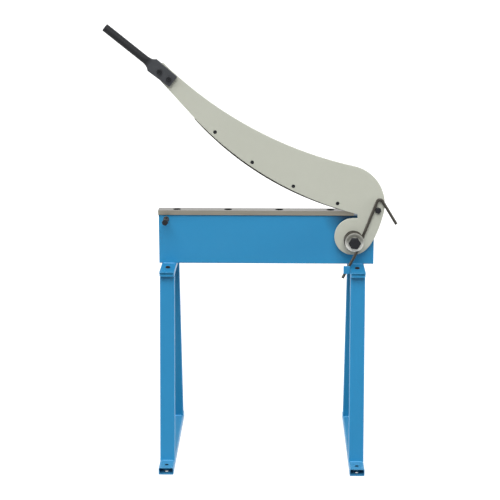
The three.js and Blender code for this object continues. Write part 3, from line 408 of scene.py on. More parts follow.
def dress(name, mesh, body, replaces, smooth, weighted):
    work = bmesh.new()
    work.from_mesh(mesh)
    bmesh.ops.remove_doubles(work, verts=work.verts, dist=1e-7)
    bmesh.ops.recalc_face_normals(work, faces=work.faces)
    work.to_mesh(mesh)
    work.free()
    mesh.shade_smooth()
    mesh.set_sharp_from_angle(angle=math.radians(smooth))
    piece = bpy.data.objects.new(name, mesh)
    bpy.context.scene.collection.objects.link(piece)
    if weighted:
        normals = piece.modifiers.new("normals", "WEIGHTED_NORMAL")
        normals.keep_sharp = True
    if body:
        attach(piece, body)
    if replaces:
        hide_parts(*replaces)
    return piece


def middle(node):
    """The middle of a CAD node's box in the building frame, in millimetres."""
    low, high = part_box(node)
    return (low + high) / 2 / MM - SHIFT


def low_y(node):
    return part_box(node)[0].y / MM - SHIFT.y


def high_y(node):
    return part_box(node)[1].y / MM - SHIFT.y


# Lines and curves
def even(steps):
    """Shares from 0 to 1 in even steps."""
    return [i / steps for i in range(steps + 1)]


def directions(count):
    """Angles all the way round, in radians."""
    return [2 * math.pi * i / count for i in range(count)]


def polar(centre_x, centre_z, radius, degrees):
    a = math.radians(degrees)
    return (centre_x + radius * math.cos(a), centre_z + radius * math.sin(a))


def arc(centre_x, centre_z, radius, start, end, steps):
    return [
        polar(centre_x, centre_z, radius, start + (end - start) * i / steps) for i in range(steps + 1)
    ]


def circle(x, z, radius, steps=32):
    return arc(x, z, radius, 0, 360 - 360 / steps, steps - 1)


def curve(start, towards, end, shares):
    """Points on a curve from start to end. It leaves towards a third point and comes from it."""
    start, towards, end = Vector(start), Vector(towards), Vector(end)
    return [start * (1 - t) ** 2 + towards * 2 * t * (1 - t) + end * t * t for t in shares]


def inset(loop, distance):
    """The loop moved to its left, which is inwards on an anticlockwise one. A sharp corner
    moves by 2.5 times the distance at most."""
    moved = []
    count = len(loop)
    for i, point in enumerate(loop):
        before, here, after = Vector(loop[i - 1]), Vector(point), Vector(loop[(i + 1) % count])
        a, b = (here - before).normalized(), (after - here).normalized()
        na, nb = Vector((-a.y, a.x)), Vector((-b.y, b.x))
        n = (na + nb).normalized()
        moved.append(tuple(here + n * distance / max(n.dot(na), 0.4)))
    return moved


def softened(profile, by):
    """Cuts each corner of a closed profile with a small round."""
    made = []
    count = len(profile)
    for i, point in enumerate(profile):
        p = Vector(point)
        before, after = Vector(profile[i - 1]), Vector(profile[(i + 1) % count])
        reach = min(by, (p - before).length * 0.4, (after - p).length * 0.4)
        start = p + (before - p).normalized() * reach
        end = p + (after - p).normalized() * reach
        made += curve(start, p, end, (0.0, 0.33, 0.67, 1.0))
    return made


# Plates, tubes and turned pieces
def band(first, count, rings):
    """Faces between rings of count points, which follow each other from a first point on."""
    faces = []
    for j in range(rings - 1):
        for i in range(count):
            a, b = first + j * count + i, first + j * count + (i + 1) % count
            faces.append((a, b, b + count, a + count))
    return faces


def tube(rings):
    """Points and faces of a tube through rings of points, with a flat face at each end."""
    count = len(rings[0])
    points = [point for ring in rings for point in ring]
    last = len(points) - count
    faces = band(0, count, len(rings))
    faces.append(tuple(range(count)))
    faces.append(tuple(last + i for i in reversed(range(count))))
    return points, faces


def slab(node, outline, holes, front, back, material, body, round_by, steps):
    """A plate in X and Z from an anticlockwise outline, with rounded rims on it and its holes."""
    points, faces = [], []
    quarter = [math.pi / 2 * share for share in even(steps)]
    rows = [(round_by * (1 - math.sin(a)), front + round_by * (1 - math.cos(a))) for a in quarter]
    for a in reversed(quarter):
        rows.append((round_by * (1 - math.sin(a)), back - round_by * (1 - math.cos(a))))
    front_rims, back_rims = [], []
    for loop in [outline] + [list(reversed(hole)) for hole in holes]:
        first, size = len(points), len(loop)
        for inward, y in rows:
            points += [(x, y, z) for x, z in inset(loop, inward)]
        faces += band(first, size, len(rows))
        front_rims.append(range(first, first + size))
        back_rims.append(range(len(points) - size, len(points)))
    for rims in (front_rims, back_rims):
        flat = [[Vector((points[i][0], points[i][2], 0.0)) for i in rim] for rim in rims]
        numbers = [i for rim in rims for i in rim]
        faces += [tuple(numbers[i] for i in triangle) for triangle in tessellate_polygon(flat)]
    piece = build(node + "_look", points, faces, material, body, (node,))
    sharpen_rims(piece.data)


def sharpen_rims(mesh):
    """Marks the edges between a plate's two flat sides and its rims as sharp."""
    work = bmesh.new()
    work.from_mesh(mesh)
    for edge in work.edges:
        flat = [abs(face.normal.y) > 0.9999 for face in edge.link_faces]
        if any(flat) and not all(flat):
            edge.smooth = False
    work.to_mesh(mesh)
    work.free()


def column(profile, angle):
    """Points of a profile of (radius, along) in one direction round the Y axis."""
    return [(radius * math.cos(angle), along, radius * math.sin(angle)) for radius, along in profile]


def round_axis(columns, closed=True):
    """Points and faces of a turned piece from its columns. A closed one joins their ends."""
    size = len(columns[0])
    faces = []
    for i in range(len(columns)):
        n = (i + 1) % len(columns)
        for j in range(size if closed else size - 1):
            k = (j + 1) % size
            faces.append((i * size + j, i * size + k, n * size + k, n * size + j))
    return [point for points in columns for point in points], faces


def spin(centre, profile, steps):
    """Points and faces of a piece turned about a line along Y from its closed profile."""
    columns = [
        [tuple(Vector(centre) + Vector(point)) for point in column(profile, a)]
        for a in directions(steps)
    ]
    return round_axis(columns)


# Screws: a profile that ends on the axis stops this far from it
ON_AXIS = 0.01
COLUMNS = 60


def rod(radius, low, high):
    profile = [(ON_AXIS, low), (radius, low), (radius, high), (ON_AXIS, high)]
    return spin((0, 0, 0), profile, 40)


def thread(radius, pitch, low, high):
    """A threaded rod along Y, as one screw line, with a small chamfer at its high end."""
    sides, rings_a_turn = 28, 6
    rows = max(2, int((high - low) / pitch * rings_a_turn))
    depth = pitch * 0.5
    rings = []
    for share in even(rows):
        y = low + (high - low) * share
        ring = []
        for i, a in enumerate(directions(sides)):
            turn = ((y - low) / pitch + i / sides) % 1.0
            flank, end = radius - depth * abs(2 * turn - 1), radius - depth - 0.2 + (high - y)
            ring += column([(min(flank, end), y)], a)
        rings.append(ring)
    return tube(rings)


def hexagon_side(flats, angle):
    """From the middle of a hexagon to its side in one direction."""
    return flats / 2 / math.cos(angle % (math.pi / 3) - math.pi / 6)


def hexagon_body(flats, height, bore=0.0):
    """A bolt head from Y 0 up with a turned chamfer at its low end, or a nut with one at both."""
    face, lip = flats / 2 * 0.965, 0.15
    inner = bore or ON_AXIS
    columns = []
    for a in directions(COLUMNS):
        side = hexagon_side(flats, a)
        low = lip + max(0.0, side - face) * math.tan(math.radians(30))
        rows = [(inner, 0.0), (face * 0.97, 0.0), (face, lip), (side, low)]
        if bore:
            rows += [(side, height - low), (face, height - lip), (face * 0.97, height)]
        else:
            rows.append((side, height))
        columns.append(column(rows + [(inner, height)], a))
    points, faces = round_axis(columns, closed=bool(bore))
    if not bore:
        size = len(columns[0])
        faces.append(tuple(i * size for i in range(COLUMNS)))
        faces.append(tuple((i + 1) * size - 1 for i in reversed(range(COLUMNS))))
    return points, faces


def socket_head(radius, height, socket, depth):
    """A cap screw's head: bearing face at Y 0, top at -height, with its hexagon socket."""
    top, soft = -height, 0.3
    columns = []
    for a in directions(COLUMNS):
        wall = hexagon_side(socket, a)
        rows = [
            (ON_AXIS, top + depth),
            (wall, top + depth),
            (wall, top + soft),
            (socket / math.sqrt(3) + soft, top),
            (radius - 0.9, top),
            (radius - 0.25, top + soft),
            (radius, top + 0.95),
            (radius, -soft),
            (radius - soft, 0.0),
            (ON_AXIS, 0.0),
        ]
        columns.append(column(rows, a))
    return round_axis(columns, closed=False)


def placed(node, parts, centre, material, body, turn):
    """One piece from parts made round the Y axis, turned and then moved to its place."""
    points, faces = [], []
    move = Matrix.Translation(centre) @ turn
    for more_points, more_faces in parts:
        faces += [tuple(i + len(points) for i in face) for face in more_faces]
        points += [tuple(move @ Vector(p)) for p in more_points]
    return build(node + "_look", points, faces, material, body, (node,), smooth=35.0)


def turn_about(axis, radians):
    return Matrix.Rotation(radians, 4, axis)


# Flat stock and tube: the CAD's own shape with its sharp edges rounded
TUBE_CORNER = 2.4
BEAM_BEND = 3.5
LONG_EDGE = 300.0
NEAR = 0.1  # what lies within this of a face is on it


def long_edges(work, outer):
    """Edges along a drawn or folded piece, on its outside or inside its bore."""
    return [
        edge for edge in work.edges
        if edge.calc_length() > LONG_EDGE * MM
        and edge.calc_face_angle(0.0) > 1.0
        and edge.is_convex == outer
    ]


def spread_index(work):
    """Gives the second material to the rest of each flat wall that has it in part."""
    level = [edge for edge in work.edges if edge.calc_face_angle(1.0) < 0.01]
    grown = True
    while grown:
        grown = False
        for edge in level:
            if len({face.material_index for face in edge.link_faces}) == 2:
                for face in edge.link_faces:
                    face.material_index = 1
                grown = True


def rounded(node, material, by, segments=3, corner=0, inside=None):
    """Corner is the radius of the long outer edges, in front alone on an open profile."""
    name = node + "_look"
    mesh = NODES[node].data.copy()
    mesh.name = name
    mesh.materials.clear()
    mesh.materials.append(material)
    work = bmesh.new()
    work.from_mesh(mesh)
    bmesh.ops.remove_doubles(work, verts=work.verts, dist=1e-6)
    bmesh.ops.recalc_face_normals(work, faces=work.faces)
    bmesh.ops.dissolve_limit(
        work, angle_limit=math.radians(0.5), verts=work.verts, edges=work.edges
    )
    if inside:
        mesh.materials.append(inside)
        for edge in long_edges(work, False):
            for face in edge.link_faces:
                face.material_index = 1
        spread_index(work)
    if corner:
        edges = long_edges(work, True)
        if not inside:
            front = min(v.co.y for v in work.verts) + NEAR * MM
            edges = [e for e in edges if all(v.co.y < front for v in e.verts)]
        bmesh.ops.bevel(
            work, geom=edges, offset=corner * MM, offset_type="OFFSET", segments=4,
            profile=0.5, affect="EDGES", clamp_overlap=False,
        )
    work.to_mesh(mesh)
    work.free()
    piece = dress(name, mesh, "frame", (node,), smooth=30.0, weighted=False)
    bevel = piece.modifiers.new("round", "BEVEL")
    bevel.width = by * MM
    bevel.segments = segments
    bevel.limit_method = "ANGLE"
    bevel.angle_limit = math.radians(25)
    bevel.use_clamp_overlap = True
    bevel.harden_normals = False
    normals = piece.modifiers.new("normals", "WEIGHTED_NORMAL")
    normals.keep_sharp = False
    return piece


def reach_forward(piece, plate, foot):
    """Moves the front end of a top plate to a gap behind the machine foot's."""
    own_end, foot_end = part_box(plate)[0].y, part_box(foot)[0].y
    for vertex in piece.data.vertices:
        if vertex.co.y < own_end + NEAR * MM:
            vertex.co.y = foot_end + GAP * MM


for side in SIDES:
    for part in ("foot_rail", "front_post", "rear_post"):
        rounded(f"{side}_{part}", STAND_BLUE, by=0.4, corner=TUBE_CORNER, inside=BORE_SHADE)
    machine_foot, top_plate = f"{side}_machine_foot", f"{side}_top_plate"
    rounded(machine_foot, STAND_BLUE, by=0.9)
    reach_forward(rounded(top_plate, STAND_BLUE, by=0.9), top_plate, machine_foot)
rounded("beam", BLUE, by=0.8, corner=BEAM_BEND)
rounded("spring_bracket", BLUE, by=0.8)
rounded("lower_blade", GROUND, by=0.25, segments=2)

# Arm: the outline's arcs again, with finer steps. Places are from the pivot
HANDLE_ANGLE = 38.65
ALONG = Vector(polar(0, 0, 1, -HANDLE_ANGLE))
ACROSS = Vector(polar(0, 0, 1, 90 - HANDLE_ANGLE))
HUB = (-2.4, 9.2, 63.4)
HUB_EXIT = -45.0
ARM_SHOULDER = (-31.0, 121.0, 134.0)
SHOULDER_START, SHOULDER_END = -14.0, 77.6
BACK_RADIUS, BACK_END = 1320.0, 225.7
NOTCH_X = 11.7
ARM_TIP, ARM_NOTCH = -137.9, -104.15  # on the arc of its lower edge
PLATE_END, PLATE_HALF = 25.0, 18.0  # under the handle's flat
BLADE_TIP, BLADE_HEEL, BLADE_WIDTH = -138.2, -105.0, 42.0
BLADE_SCREW_INSET, FIRST_BLADE_SCREW, BLADE_SCREW_STEP = 20.0, -133.8, 9.0
HANDLE_SCREW, HANDLE_SCREW_STEP, HANDLE_SCREW_ACROSS = 48.0, 39.0, -2.0
M12_HOLE, BLADE_HOLE, BUSH_HOLE = 6.3, 4.3, 25.3


def on_handle(along, across):
    """A place from the pivot, given along the handle from its shoulder and across it."""
    return tuple(HANDLE_SHOULDER + ALONG * along + ACROSS * across)


def tangents_meet(start, start_heading, end, end_heading):
    """Where two lines meet that are given by a point and a heading each."""
    a, b = Vector(polar(0, 0, 1, start_heading)), Vector(polar(0, 0, 1, end_heading))
    between = Vector(end) - Vector(start)
    cross = a.x * b.y - a.y * b.x
    return Vector(start) + a * (between.x * b.y - between.y * b.x) / cross


def arm_outline():
    """Anticlockwise from the notch: hub, shoulder, back, the end at the handle, lower edge."""
    notch_top = polar(*ARM_EDGE, ARM_NOTCH)
    shoulder_x, shoulder_z, shoulder_radius = ARM_SHOULDER
    leaving, start = polar(*HUB, HUB_EXIT), polar(*ARM_SHOULDER, SHOULDER_START)
    flank = tangents_meet(leaving, HUB_EXIT + 90, start, SHOULDER_START + 90)
    back_centre = polar(shoulder_x, shoulder_z, shoulder_radius + BACK_RADIUS, SHOULDER_END)
    loop = [(NOTCH_X, notch_top[1]), (NOTCH_X, HUB[1] + HUB[2])]
    loop += arc(*HUB, 90, HUB_EXIT + 360, 96)
    loop += curve(leaving, flank, start, even(16))[1:]
    loop += arc(*ARM_SHOULDER, SHOULDER_START, SHOULDER_END, 64)[1:]
    loop += arc(*back_centre, BACK_RADIUS, SHOULDER_END + 180, BACK_END, 72)[1:]
    loop += [on_handle(PLATE_END, PLATE_HALF), on_handle(PLATE_END, -PLATE_HALF)]
    loop += arc(*ARM_EDGE, ARM_TIP, ARM_NOTCH, 110)[:-1]
    return loop


def in_machine(loop):
    return [(x + PIVOT.x, z + PIVOT.z) for x, z in loop]


def on_blade(depth):
    """The arc that lies within the upper blade's edge by a depth."""
    x, z, radius = EDGE
    return x, z, radius - depth


ARM_FRONT, ARM_BACK = low_y("arm_plate"), high_y("arm_plate")
blade_screws = [
    polar(*on_blade(BLADE_SCREW_INSET), FIRST_BLADE_SCREW + BLADE_SCREW_STEP * i) for i in range(4)
]
handle_screws = [
    on_handle(HANDLE_SCREW + HANDLE_SCREW_STEP * i, HANDLE_SCREW_ACROSS) for i in range(2)
]
catch = middle("catch_bolt") - PIVOT
arm_holes = [circle(x, z, M12_HOLE) for x, z in blade_screws + handle_screws]
arm_holes += [circle(0, 0, BUSH_HOLE, 64), circle(catch.x, catch.z, M12_HOLE)]
slab(
    "arm_plate", in_machine(arm_outline()), [in_machine(hole) for hole in arm_holes],
    ARM_FRONT, ARM_BACK, GREY, "arm", round_by=0.8, steps=3,
)
blade_loop = arc(*EDGE, BLADE_TIP, BLADE_HEEL, 110)
blade_loop += arc(*on_blade(BLADE_WIDTH), BLADE_HEEL, BLADE_TIP, 110)
slab(
    "upper_blade", in_machine(blade_loop),
    [in_machine(circle(x, z, BLADE_HOLE)) for x, z in blade_screws],
    low_y("upper_blade"), high_y("upper_blade"), BLADE, "arm", round_by=0.25, steps=2,
)

# Heads of socket head screws. Depth is that of the socket
Cap = namedtuple("Cap", "radius height socket depth")
M8_CAP = Cap(6.0, 5.0, 5.0, 3.0)
M12_CAP = Cap(9.0, 7.0, 8.0, 4.2)
M16_CAP = Cap(12.0, 9.0, 12.0, 5.4)
# Hexagon bolts. Shank and crest are the radii of the plain part and of the thread
Bolt = namedtuple("Bolt", "flats head shank crest pitch")
M12 = Bolt(19.0, 7.5, 5.95, 5.95, 1.75)
M16 = Bolt(24.0, 10.0, 8.0, 7.9, 2.0)
M24 = Bolt(36.0, 15.0, 11.95, 11.95, 3.0)
JOIN = 0.5  # a thread and the shank before it run into each other by this
NUT_SLACK = 0.1  # between a nut's bore and the shank
M8_SHANK = 4.0
HANDLE_SHANK, HANDLE_THREAD = 5.9, 15.0  # radius, and length of the thread
BLADE_SCREW_PLAIN, STAND_BOLT_PLAIN = 4.0, 3.0
UNTURNED = Matrix.Identity(4)

for i, (x, z) in enumerate(blade_screws):
    node = f"upper_blade_screw_{i + 1}"
    head = low_y(node) + M8_CAP.height
    placed(
        node, [socket_head(*M8_CAP), rod(M8_SHANK, 0, high_y(node) - head)],
        (x + PIVOT.x, head, z + PIVOT.z), OXIDE, "arm", UNTURNED,
    )

# Handle: round grip, necked and forged flat. Places are along it from its shoulder
PALM_BACK = ARM_FRONT - GAP
GRIP, GRIP_END, END_ROUND = 13.5, -183.0, 2.5
GRIP_ROWS = (-156, -128, -100, -72, -44, -16)
NECK_START, NECK_LENGTH = -14.0, 30.0
FLAT_HALF, FLAT_CORNER = 6.0, 2.5  # half its thickness, and the round of its long edges
FLAT_WIDE, FLAT_NARROW = 24.75, 22.0  # half its width at the neck and at the end
FLAT_START, FLAT_LENGTH, TIP_ROUND = 16.0, 84.0, 4.0
# Along the neck: share of its length, of its widening and of its flattening
NECK = (
    (0.0, 0.0, 0.0), (0.2, 0.03, 0.22), (0.45, 0.12, 0.6), (0.6, 0.27, 0.77),
    (0.75, 0.5, 0.9), (0.88, 0.8, 0.97), (0.96, 0.97, 1.0), (1.0, 1.0, 1.0),
)


def handle_section(along, half_width, half_thickness, corner):
    """A ring across the handle: a rectangle with round corners, or a circle."""
    points = []
    for quarter, (across, front) in enumerate(((1, 1), (-1, 1), (-1, -1), (1, -1))):
        for share in even(9):
            a = (quarter + share) * math.pi / 2
            y = PALM_BACK - FLAT_HALF - front * (half_thickness - corner) - corner * math.sin(a)
            side = across * (half_width - corner) + corner * math.cos(a)
            x, z = on_handle(along, side)
            points.append((x + PIVOT.x, y, z + PIVOT.z))
    return points


def handle_profile():
    """Sections along the handle: place, half width, half thickness and corner."""
    rows = []
    for share in even(5):
        a = math.pi / 2 * share
        reach = GRIP - END_ROUND + END_ROUND * math.sin(a)
        rows.append((GRIP_END + END_ROUND * (1 - math.cos(a)), reach, reach, reach))
    rows += [(along, GRIP, GRIP, GRIP - 0.05) for along in GRIP_ROWS]
    for along, width, flat in NECK:
        wide = GRIP + (FLAT_WIDE - GRIP) * width
        thick = GRIP + (FLAT_HALF - GRIP) * flat
        corner = thick + (FLAT_CORNER - thick) * flat - 0.02
        rows.append((NECK_START + NECK_LENGTH * along, wide, thick, corner))
    for share in even(4)[1:]:
        wide = FLAT_WIDE - (FLAT_WIDE - FLAT_NARROW) * share
        rows.append((FLAT_START + FLAT_LENGTH * share, wide, FLAT_HALF, FLAT_CORNER))
    flat_end = FLAT_START + FLAT_LENGTH
    for share in even(4)[1:]:
        a = math.pi / 2 * share
        wide = FLAT_NARROW - TIP_ROUND * (1 - math.cos(a))
        rows.append((flat_end + TIP_ROUND * math.sin(a), wide, FLAT_HALF, FLAT_CORNER))
    rows.append((flat_end + TIP_ROUND, 16, 4.4, 2.2))
    return rows


build(
    "handle_look", *tube([handle_section(*row) for row in handle_profile()]),
    BLACK, "arm", ("handle",), smooth=50.0,
)
for i, (x, z) in enumerate(handle_screws):
    node = f"handle_screw_{i + 1}"
    head = low_y(node) + M12_CAP.height
    tail = high_y(node) - head
    parts = [socket_head(*M12_CAP), rod(HANDLE_SHANK, 0, tail - HANDLE_THREAD + 1)]
    parts.append(thread(HANDLE_SHANK, M12.pitch, tail - HANDLE_THREAD, tail))
    placed(node, parts, (x + PIVOT.x, head, z + PIVOT.z), OXIDE, "arm", UNTURNED)

# Bolts and nuts across the machine
UPPER_LEG = 69.2  # heading of the spring's upper leg, in degrees


def bolt_parts(size, plain, length):
    """Head, plain shank and thread, from Y 0 up."""
    shoulder = size.head + plain
    return [
        hexagon_body(size.flats, size.head),
        rod(size.shank, size.head - JOIN, shoulder),
        thread(size.crest, size.pitch, shoulder - JOIN, length),
    ]


def lying(node, parts, material, body, turn):
    """A bolt or nut along Y at its CAD node's place, turned by an angle in radians."""
    centre = middle(node)
    start = (centre.x, low_y(node), centre.z)
    placed(node, parts, start, material, body, turn_about("Y", turn))


def nut(node, size, material, body, turn):
    height = high_y(node) - low_y(node)
    parts = [hexagon_body(size.flats, height, size.shank + NUT_SLACK)]
    lying(node, parts, material, body, turn)


def hex_bolt(node, size, plain, body, turn):
    parts = bolt_parts(size, plain, high_y(node) - low_y(node))
    lying(node, parts, OXIDE, body, turn)


nut("handle_nut_1", M12, ZINC, "arm", 0.2)
nut("handle_nut_2", M12, ZINC, "arm", 0.7)
nut("catch_nut", M12, ZINC, "arm", 0.4)
nut("stop_bolt_nut", M12, DULL_ZINC, "frame", 0.5)
nut("pivot_nut", M24, ZINC, "frame", 0.15)
hex_bolt("catch_bolt", M12, plain=11, body="arm", turn=math.radians(90 - UPPER_LEG))
hex_bolt("stop_bolt", M12, plain=2, body="frame", turn=math.radians(12))
hex_bolt("pivot_bolt", M24, plain=95, body="frame", turn=0.0)

# Turned pieces on the pivot
BOLT_BORE, SLEEVE, SLEEVE_BORE, BUSH = 12.3, 20.0, 20.2, 25.0
BOSS, WASHER, SPACER = 50.0, 22.0, 30.0


def turned_piece(node, profile, material, body, by):
    mesh = spin((PIVOT.x, 0, PIVOT.z), softened(profile, by), 96)
    build(node + "_look", *mesh, material, body, (node,), smooth=35.0)


def turned_ring(node, inner, outer, material, body="frame", by=0.5):
    low, high = low_y(node), high_y(node)
    profile = [(inner, low), (outer, low), (outer, high), (inner, high)]
    turned_piece(node, profile, material, body, by)


turned_ring("pivot_boss", BOLT_BORE, BOSS, BLUE, by=1.2)
turned_ring("pivot_washer", BOLT_BORE, WASHER, ZINC)
turned_ring("hub_spacer", SLEEVE_BORE, SPACER, TURNED)
turned_ring("pivot_sleeve", BOLT_BORE, SLEEVE, TURNED)
turned_ring("arm_bush", SLEEVE_BORE, BUSH, BRONZE, "arm", by=0.3)

# The retainer: a raised middle, a sunk dish round it and a rim
CAP_RADIUS, DISH_INNER, DISH_WIDE, DISH_DEEP, RIM_DROP = 31.5, 19.0, 10.0, 4.5, 3.0
cap_front, cap_back = low_y("spring_retainer"), high_y("spring_retainer")
rim_y = cap_front + RIM_DROP
cap_profile = [(BOLT_BORE, cap_back), (BOLT_BORE, cap_front)]
cap_profile += [(DISH_INNER - 0.7, cap_front), (DISH_INNER, cap_front + 0.7)]
for t in even(8):
    cap_profile.append((DISH_INNER + DISH_WIDE * t, rim_y + DISH_DEEP * (1 - t) ** 1.5))
cap_profile += [(CAP_RADIUS - 1, rim_y), (CAP_RADIUS, rim_y + 1), (CAP_RADIUS, cap_back)]
turned_piece("spring_retainer", cap_profile, TURNED, "frame", by=0.3)

# Screws in the lower blade and the stand bolts
BOLT_SHOWS = 6.0  # the bolts' worn ends come up out of the machine feet

for i in range(4):
    node = f"lower_blade_screw_{i + 1}"
    low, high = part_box(node)
    centre = middle(node)
    head = high.z / MM - M16_CAP.height
    parts = [socket_head(*M16_CAP), rod(M16.shank, 0, BLADE_SCREW_PLAIN)]
    parts.append(thread(M16.crest, M16.pitch, BLADE_SCREW_PLAIN - JOIN, head - low.z / MM))
    head_up = turn_about("X", -math.pi / 2) @ turn_about("Y", 0.3 + 1.1 * i)
    placed(node, parts, (centre.x, centre.y, head), SUNK, "frame", head_up)
for side in SIDES:
    for place in ("front", "rear"):
        node = f"{side}_{place}_stand_bolt"
        low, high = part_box(node)
        centre = middle(node)
        parts = bolt_parts(M16, STAND_BOLT_PLAIN, (high.z - low.z) / MM + BOLT_SHOWS)
        bottom = (centre.x, centre.y, low.z / MM)
        placed(node, parts, bottom, RUSTY, "frame", turn_about("X", math.pi / 2))

# Torsion spring: the CAD's wire with finer steps
WIRE = 10.0
COIL_CENTRE = Vector((-2.0, 0.0, 0.8))
COIL_RADIUS = 28.0
COIL_PITCH = 10.45
LOWER_LEG = 62.5  # heading in degrees
LOWER_LENGTH, UPPER_LENGTH = 119.5, 162.0
LEG_BEND, LEG_TRIM = 20.0, 12.0
HOOK_TURN = 127.7
HOOK_RADIUS = 10.5
HOOK_LENGTH = 113.3
END_CHAMFER = 0.8


def heading(degrees):
    a = math.radians(degrees)
    return Vector((math.cos(a), 0.0, math.sin(a)))


def on_coil(degrees, y):
    return COIL_CENTRE + heading(degrees) * COIL_RADIUS + Vector((0, y, 0))


def wire_path():
    """Lower leg, bend, coil, bend, upper leg, hook: as in the CAD, with its bends rounded."""
    turns = 3 + (UPPER_LEG - LOWER_LEG + 2 * LEG_BEND) / 360
    back = ARM_FRONT - GAP - WIRE / 2
    front = back - turns * COIL_PITCH
    first = LOWER_LEG - LEG_BEND - 90

    def along_coil(t):
        return on_coil(first + 360 * t, front + t * COIL_PITCH)

    share = LEG_TRIM / (2 * math.pi * COIL_RADIUS)
    low, high = along_coil(0), along_coil(turns)
    start = low - heading(LOWER_LEG) * LOWER_LENGTH
    near = low - heading(LOWER_LEG) * LEG_TRIM
    path = [start.lerp(near, t) for t in even(12)[:-1]]
    path += curve(near, low, along_coil(share), even(8))
    path += [along_coil(share + (turns - 2 * share) * t) for t in even(150)[1:-1]]
    leaving = high + heading(UPPER_LEG) * LEG_TRIM
    path += curve(along_coil(turns - share), high, leaving, even(8))
    corner = high + heading(UPPER_LEG) * UPPER_LENGTH
    hook_start = corner - heading(UPPER_LEG) * HOOK_RADIUS * math.tan(math.radians(HOOK_TURN / 2))
    path += [leaving.lerp(hook_start, t) for t in even(12)[1:-1]]
    hook_middle = hook_start + heading(UPPER_LEG - 90) * HOOK_RADIUS
    path += [hook_middle + heading(UPPER_LEG + 90 - HOOK_TURN * t) * HOOK_RADIUS for t in even(18)]
    end = corner + heading(UPPER_LEG - HOOK_TURN) * HOOK_LENGTH
    turned_out = path[-1]
    path += [turned_out.lerp(end, t) for t in even(8)[1:]]
    return [p + PIVOT for p in path]


def ring_of(point, out, up, radius, sides):
    """Points round a place on a path, from two directions across it."""
    return [
        tuple(point + out * math.cos(a) * radius + up * math.sin(a) * radius)
        for a in directions(sides)
    ]


def wire_mesh(path, radius):
    """A round wire along a path. Its start has a small chamfer, and its end is hollow for as
    long as the path's last step."""
    sides = 20
    rows = []
    for i, point in enumerate(path):
        before, after = path[max(i - 1, 0)], path[min(i + 1, len(path) - 1)]
        along = ((after - point).normalized() + (point - before).normalized()).normalized()
        up = (Vector((0, 1, 0)) - along * along.y).normalized()
        rows.append((point, up.cross(along), up, along))
    rings = [ring_of(point, out, up, radius, sides) for point, out, up, _ in rows]
    point, out, up, along = rows[0]
    tip = ring_of(point, out, up, radius - END_CHAMFER, sides)
    rings[0] = ring_of(point + along * END_CHAMFER, out, up, radius, sides)
    point, out, up, along = rows[-2]
    hollow = ring_of(point, out, up, radius - END_CHAMFER, sides)
    return tube([tip] + rings + [hollow])


spring = build(
    "torsion_spring_look", *wire_mesh(wire_path(), WIRE / 2 - 0.02),
    SPRING, None, ("torsion_spring",), smooth=50.0, weighted=False,
)
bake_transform(spring)


# Welds: a rippled bead along each seam
def bead(name, path, size, material=LIT_WELD):
    """A bead of weld metal along a path, with ripples, painted over."""
    dense = []
    for start, end in zip(path, path[1:]):
        start, end = Vector(start), Vector(end)
        count = max(2, int((end - start).length / 0.9))
        dense += [start.lerp(end, i / count) for i in range(count)]
    dense.append(Vector(path[-1]))
    rings = []
    travelled = 0.0
    for i, point in enumerate(dense):
        before, after = dense[max(i - 1, 0)], dense[min(i + 1, len(dense) - 1)]
        along = (after - before).normalized()
        guide = Vector((0, 0, 1)) if abs(along.z) < 0.8 else Vector((1, 0, 0))
        out = along.cross(guide).normalized()
        up = out.cross(along).normalized()
        travelled += (point - before).length
        ripple = 1 + 0.08 * math.sin(travelled * 2.4) + 0.05 * math.sin(travelled * 0.71 + size)
        taper = min(1.0, 0.35 + min(i, len(dense) - 1 - i) * 0.2)
        rings.append(ring_of(point, out, up, size * ripple * taper, 10))
    build(name, *tube(rings), material, "frame", smooth=60.0, weighted=False)


def cross_bead(name, x, half, y, z, size, material=LIT_WELD):
    """A bead along X over half a width to each side."""
    bead(name, [(x - half, y, z), (x + half, y, z)], size, material)


TUBE_WIDE, TUBE_DEEP = 50.0, 25.0
POST_INSET = 15.0  # from the top plate's ends to the posts
BELOW_POST_END = 0.1  # a bead's middle, at the post's foot and at its head
AT_BEAM = 0.2  # a bead's middle under the beam, and inside its edges
FINE, THIN, FULL = 1.5, 1.7, 1.9
SEAM_SHADE, BRACKET_BEAD, BOSS_BEAD = 1.6, 1.6, 2.2

